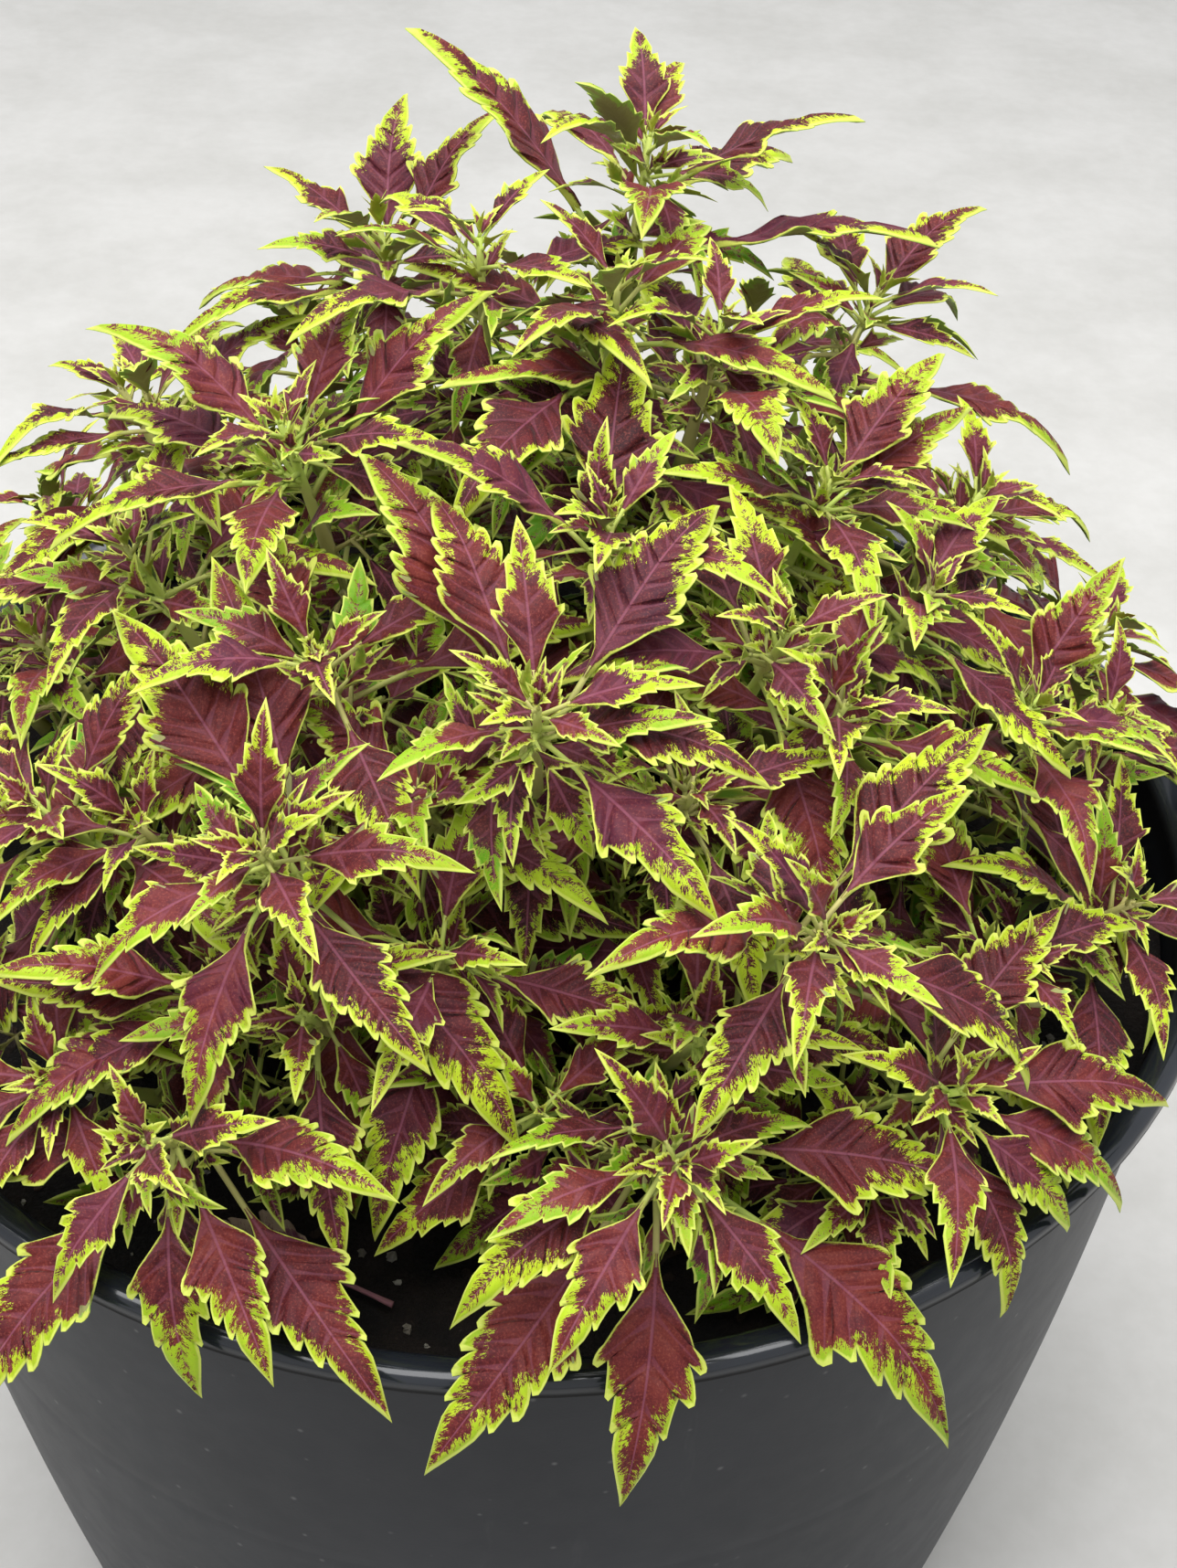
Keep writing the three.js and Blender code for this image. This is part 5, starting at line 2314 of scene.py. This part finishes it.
@dataclass(frozen=True)
class Stems:
    """The branching stem: a woody rootstock, eight limbs and a twig for each shoot."""

    rootstock: Pair = (17.0, 13.0)
    limb: Pair = (5.8, 4.8)
    twig: Pair = (3.6, 3.1)
    swelling: float = 0.32
    node_spacing: float = 26.0
    corner: float = 0.55

    ROOT_LEVELS = (340, 362, 374, 386, 391)
    SECTION = 1.8 * MM

    def course(self, points: list[Vector], ends: Pair) -> tuple[list[Vector], list[float]]:
        """A course with a radius at each point, swollen where leaves once grew.

        Args:
            points: The course's points.
            ends: The radius at its start and its end.

        Returns:
            The points and their radii.
        """
        fine = []
        for near, far in zip(points, points[1:]):
            fine += [near.lerp(far, share) for share in (0.0, 0.5)]
        fine.append(points[-1])
        radii, run = [], 0.0
        for i, point in enumerate(fine):
            run += (point - fine[i - 1]).length if i else 0.0
            share = i / (len(fine) - 1)
            bump = max(0.0, math.cos(2 * math.pi * run / self.node_spacing)) ** 6
            radii.append((ends[0] + (ends[1] - ends[0]) * share) * (1 + self.swelling * bump))
        return fine, radii

    def tree(self) -> GeometryGraph:
        """Builds the tree that lays a rounded square section along each course.

        Returns:
            The tree's graph.
        """
        graph = GeometryGraph("Square stems", {"Corner": float, "Material": Material})
        lines = graph.made("GeometryNodeMeshToCurve", {"Mesh": graph.source.outputs["Geometry"]})
        feeds = {"Curve": lines, "Radius": graph.named("girth")}
        lines = graph.made("GeometryNodeSetCurveRadius", feeds)
        feeds = {"Width": self.SECTION, "Height": self.SECTION}
        square = graph.made("GeometryNodeCurvePrimitiveQuadrilateral", feeds)
        feeds = {"Curve": square, "Count": 2, "Radius": graph.given("Corner") * MM}
        profile = graph.made("GeometryNodeFilletCurve", feeds, mode="POLY")
        feeds = {"Curve": lines, "Profile Curve": profile, "Fill Caps": True}
        bars = graph.made("GeometryNodeCurveToMesh", feeds)
        graph.end(graph.made("GeometryNodeSetShadeSmooth", {"Geometry": bars}))
        return graph

    def build(self, shoots: list[Shoot], framework: Framework, finish: Material) -> None:
        """Makes the stem.

        Args:
            shoots: The shoots that get a twig.
            framework: The courses of limbs and twigs.
            finish: The material.
        """
        courses = [self.course([UP * level for level in self.ROOT_LEVELS], self.rootstock)]
        courses += [self.course(limb, self.limb) for limb in framework.limbs()]
        courses += [self.course(framework.twig(shoot), self.twig) for shoot in shoots]
        points, edges, radii = [], [], []
        for line, thick in courses:
            start = len(points)
            points += [point * MM for point in line]
            radii += thick
            edges += [(start + i, start + i + 1) for i in range(len(line) - 1)]
        source = make_mesh("stem_courses", points, edges=edges)
        write(source, "girth", "FLOAT", radii)
        values = {"Corner": self.corner, "Material": finish}
        adopt(self.tree().bake(source, "stem_and_branches", values), "stem", "branching_stem")


# ------------------------------------------------------------------ studio


@dataclass(frozen=True)
class Studio:
    """A pale floor, soft light from above and the camera."""

    floor_reach: float = 8.0
    eye: Triple = (26.6, -677.6, 979.6)
    pitch: float = 40.0
    roll: float = 2.05
    lens: float = 49.9
    sensor: float = 36.0
    clip: float = 50.0
    sky: Rgb = (226, 229, 233)
    sky_strength: float = 0.9
    key_power: float = 101.0
    key_size: float = 2.6
    key_at: Triple = (-0.15, -0.05, 2.75)
    key_aim: Triple = (0.0, 0.0, 0.45)

    def build(self, finish: Material) -> None:
        """Makes the floor, the lights and the camera.

        Args:
            finish: The floor's material.
        """
        scene = bpy.context.scene
        scene.view_settings.view_transform = "Standard"
        reach = self.floor_reach
        corners = [(-reach, -reach, 0), (reach, -reach, 0), (reach, reach, 0), (-reach, reach, 0)]
        ground = make_mesh("floor", corners, [(0, 1, 2, 3)])
        ground.materials.append(finish)
        place(ground, "floor")
        world = bpy.data.worlds.new("Soft sky")
        world.use_nodes = True
        background = world.node_tree.nodes["Background"]
        background.inputs["Color"].default_value = srgb(self.sky)
        background.inputs["Strength"].default_value = self.sky_strength
        scene.world = world
        lamp = bpy.data.lights.new("softbox", "AREA")
        lamp.energy, lamp.size = self.key_power, self.key_size
        softbox = place(lamp, "softbox")
        softbox.location = self.key_at
        aim = Vector(self.key_aim) - softbox.location
        softbox.rotation_euler = aim.to_track_quat("-Z", "Y").to_euler()
        lens = bpy.data.cameras.new("camera")
        lens.lens, lens.sensor_width, lens.clip_end = self.lens, self.sensor, self.clip
        scene.camera = place(lens, "camera")
        tilt = Matrix.Rotation(math.radians(90 - self.pitch), 4, "X")
        spin = Matrix.Rotation(math.radians(self.roll), 4, "Z")
        scene.camera.matrix_world = Matrix.Translation(Vector(self.eye) * MM) @ tilt @ spin


def main() -> None:
    """Builds every piece in order."""
    logging.basicConfig(level=logging.INFO, format="%(name)s: %(message)s")
    mottle, pattern = Mottle(), LeafPattern()
    Studio().build(FloorFinish(mottle).build())
    Planter().build(PlanterFinish(mottle).build())
    surface = PottingMix().build(MixFinish(mottle).build())
    Crumbs().build(surface, CrumbFinish(mottle).build())
    framework, library = Framework(), ShapeLibrary()
    Stems().build([*plan_shoots(), *FILLERS], framework, StemFinish(mottle).build())
    foliage = Foliage(LeafRules(framework), LeafTree(), library)
    ShedLeaf().build(foliage, ShedLeafFinish(pattern, mottle).build())
    foliage.build(LeafFinish(pattern, mottle).build())
    clear_away(library.collection)


if __name__ == "__main__":
    main()
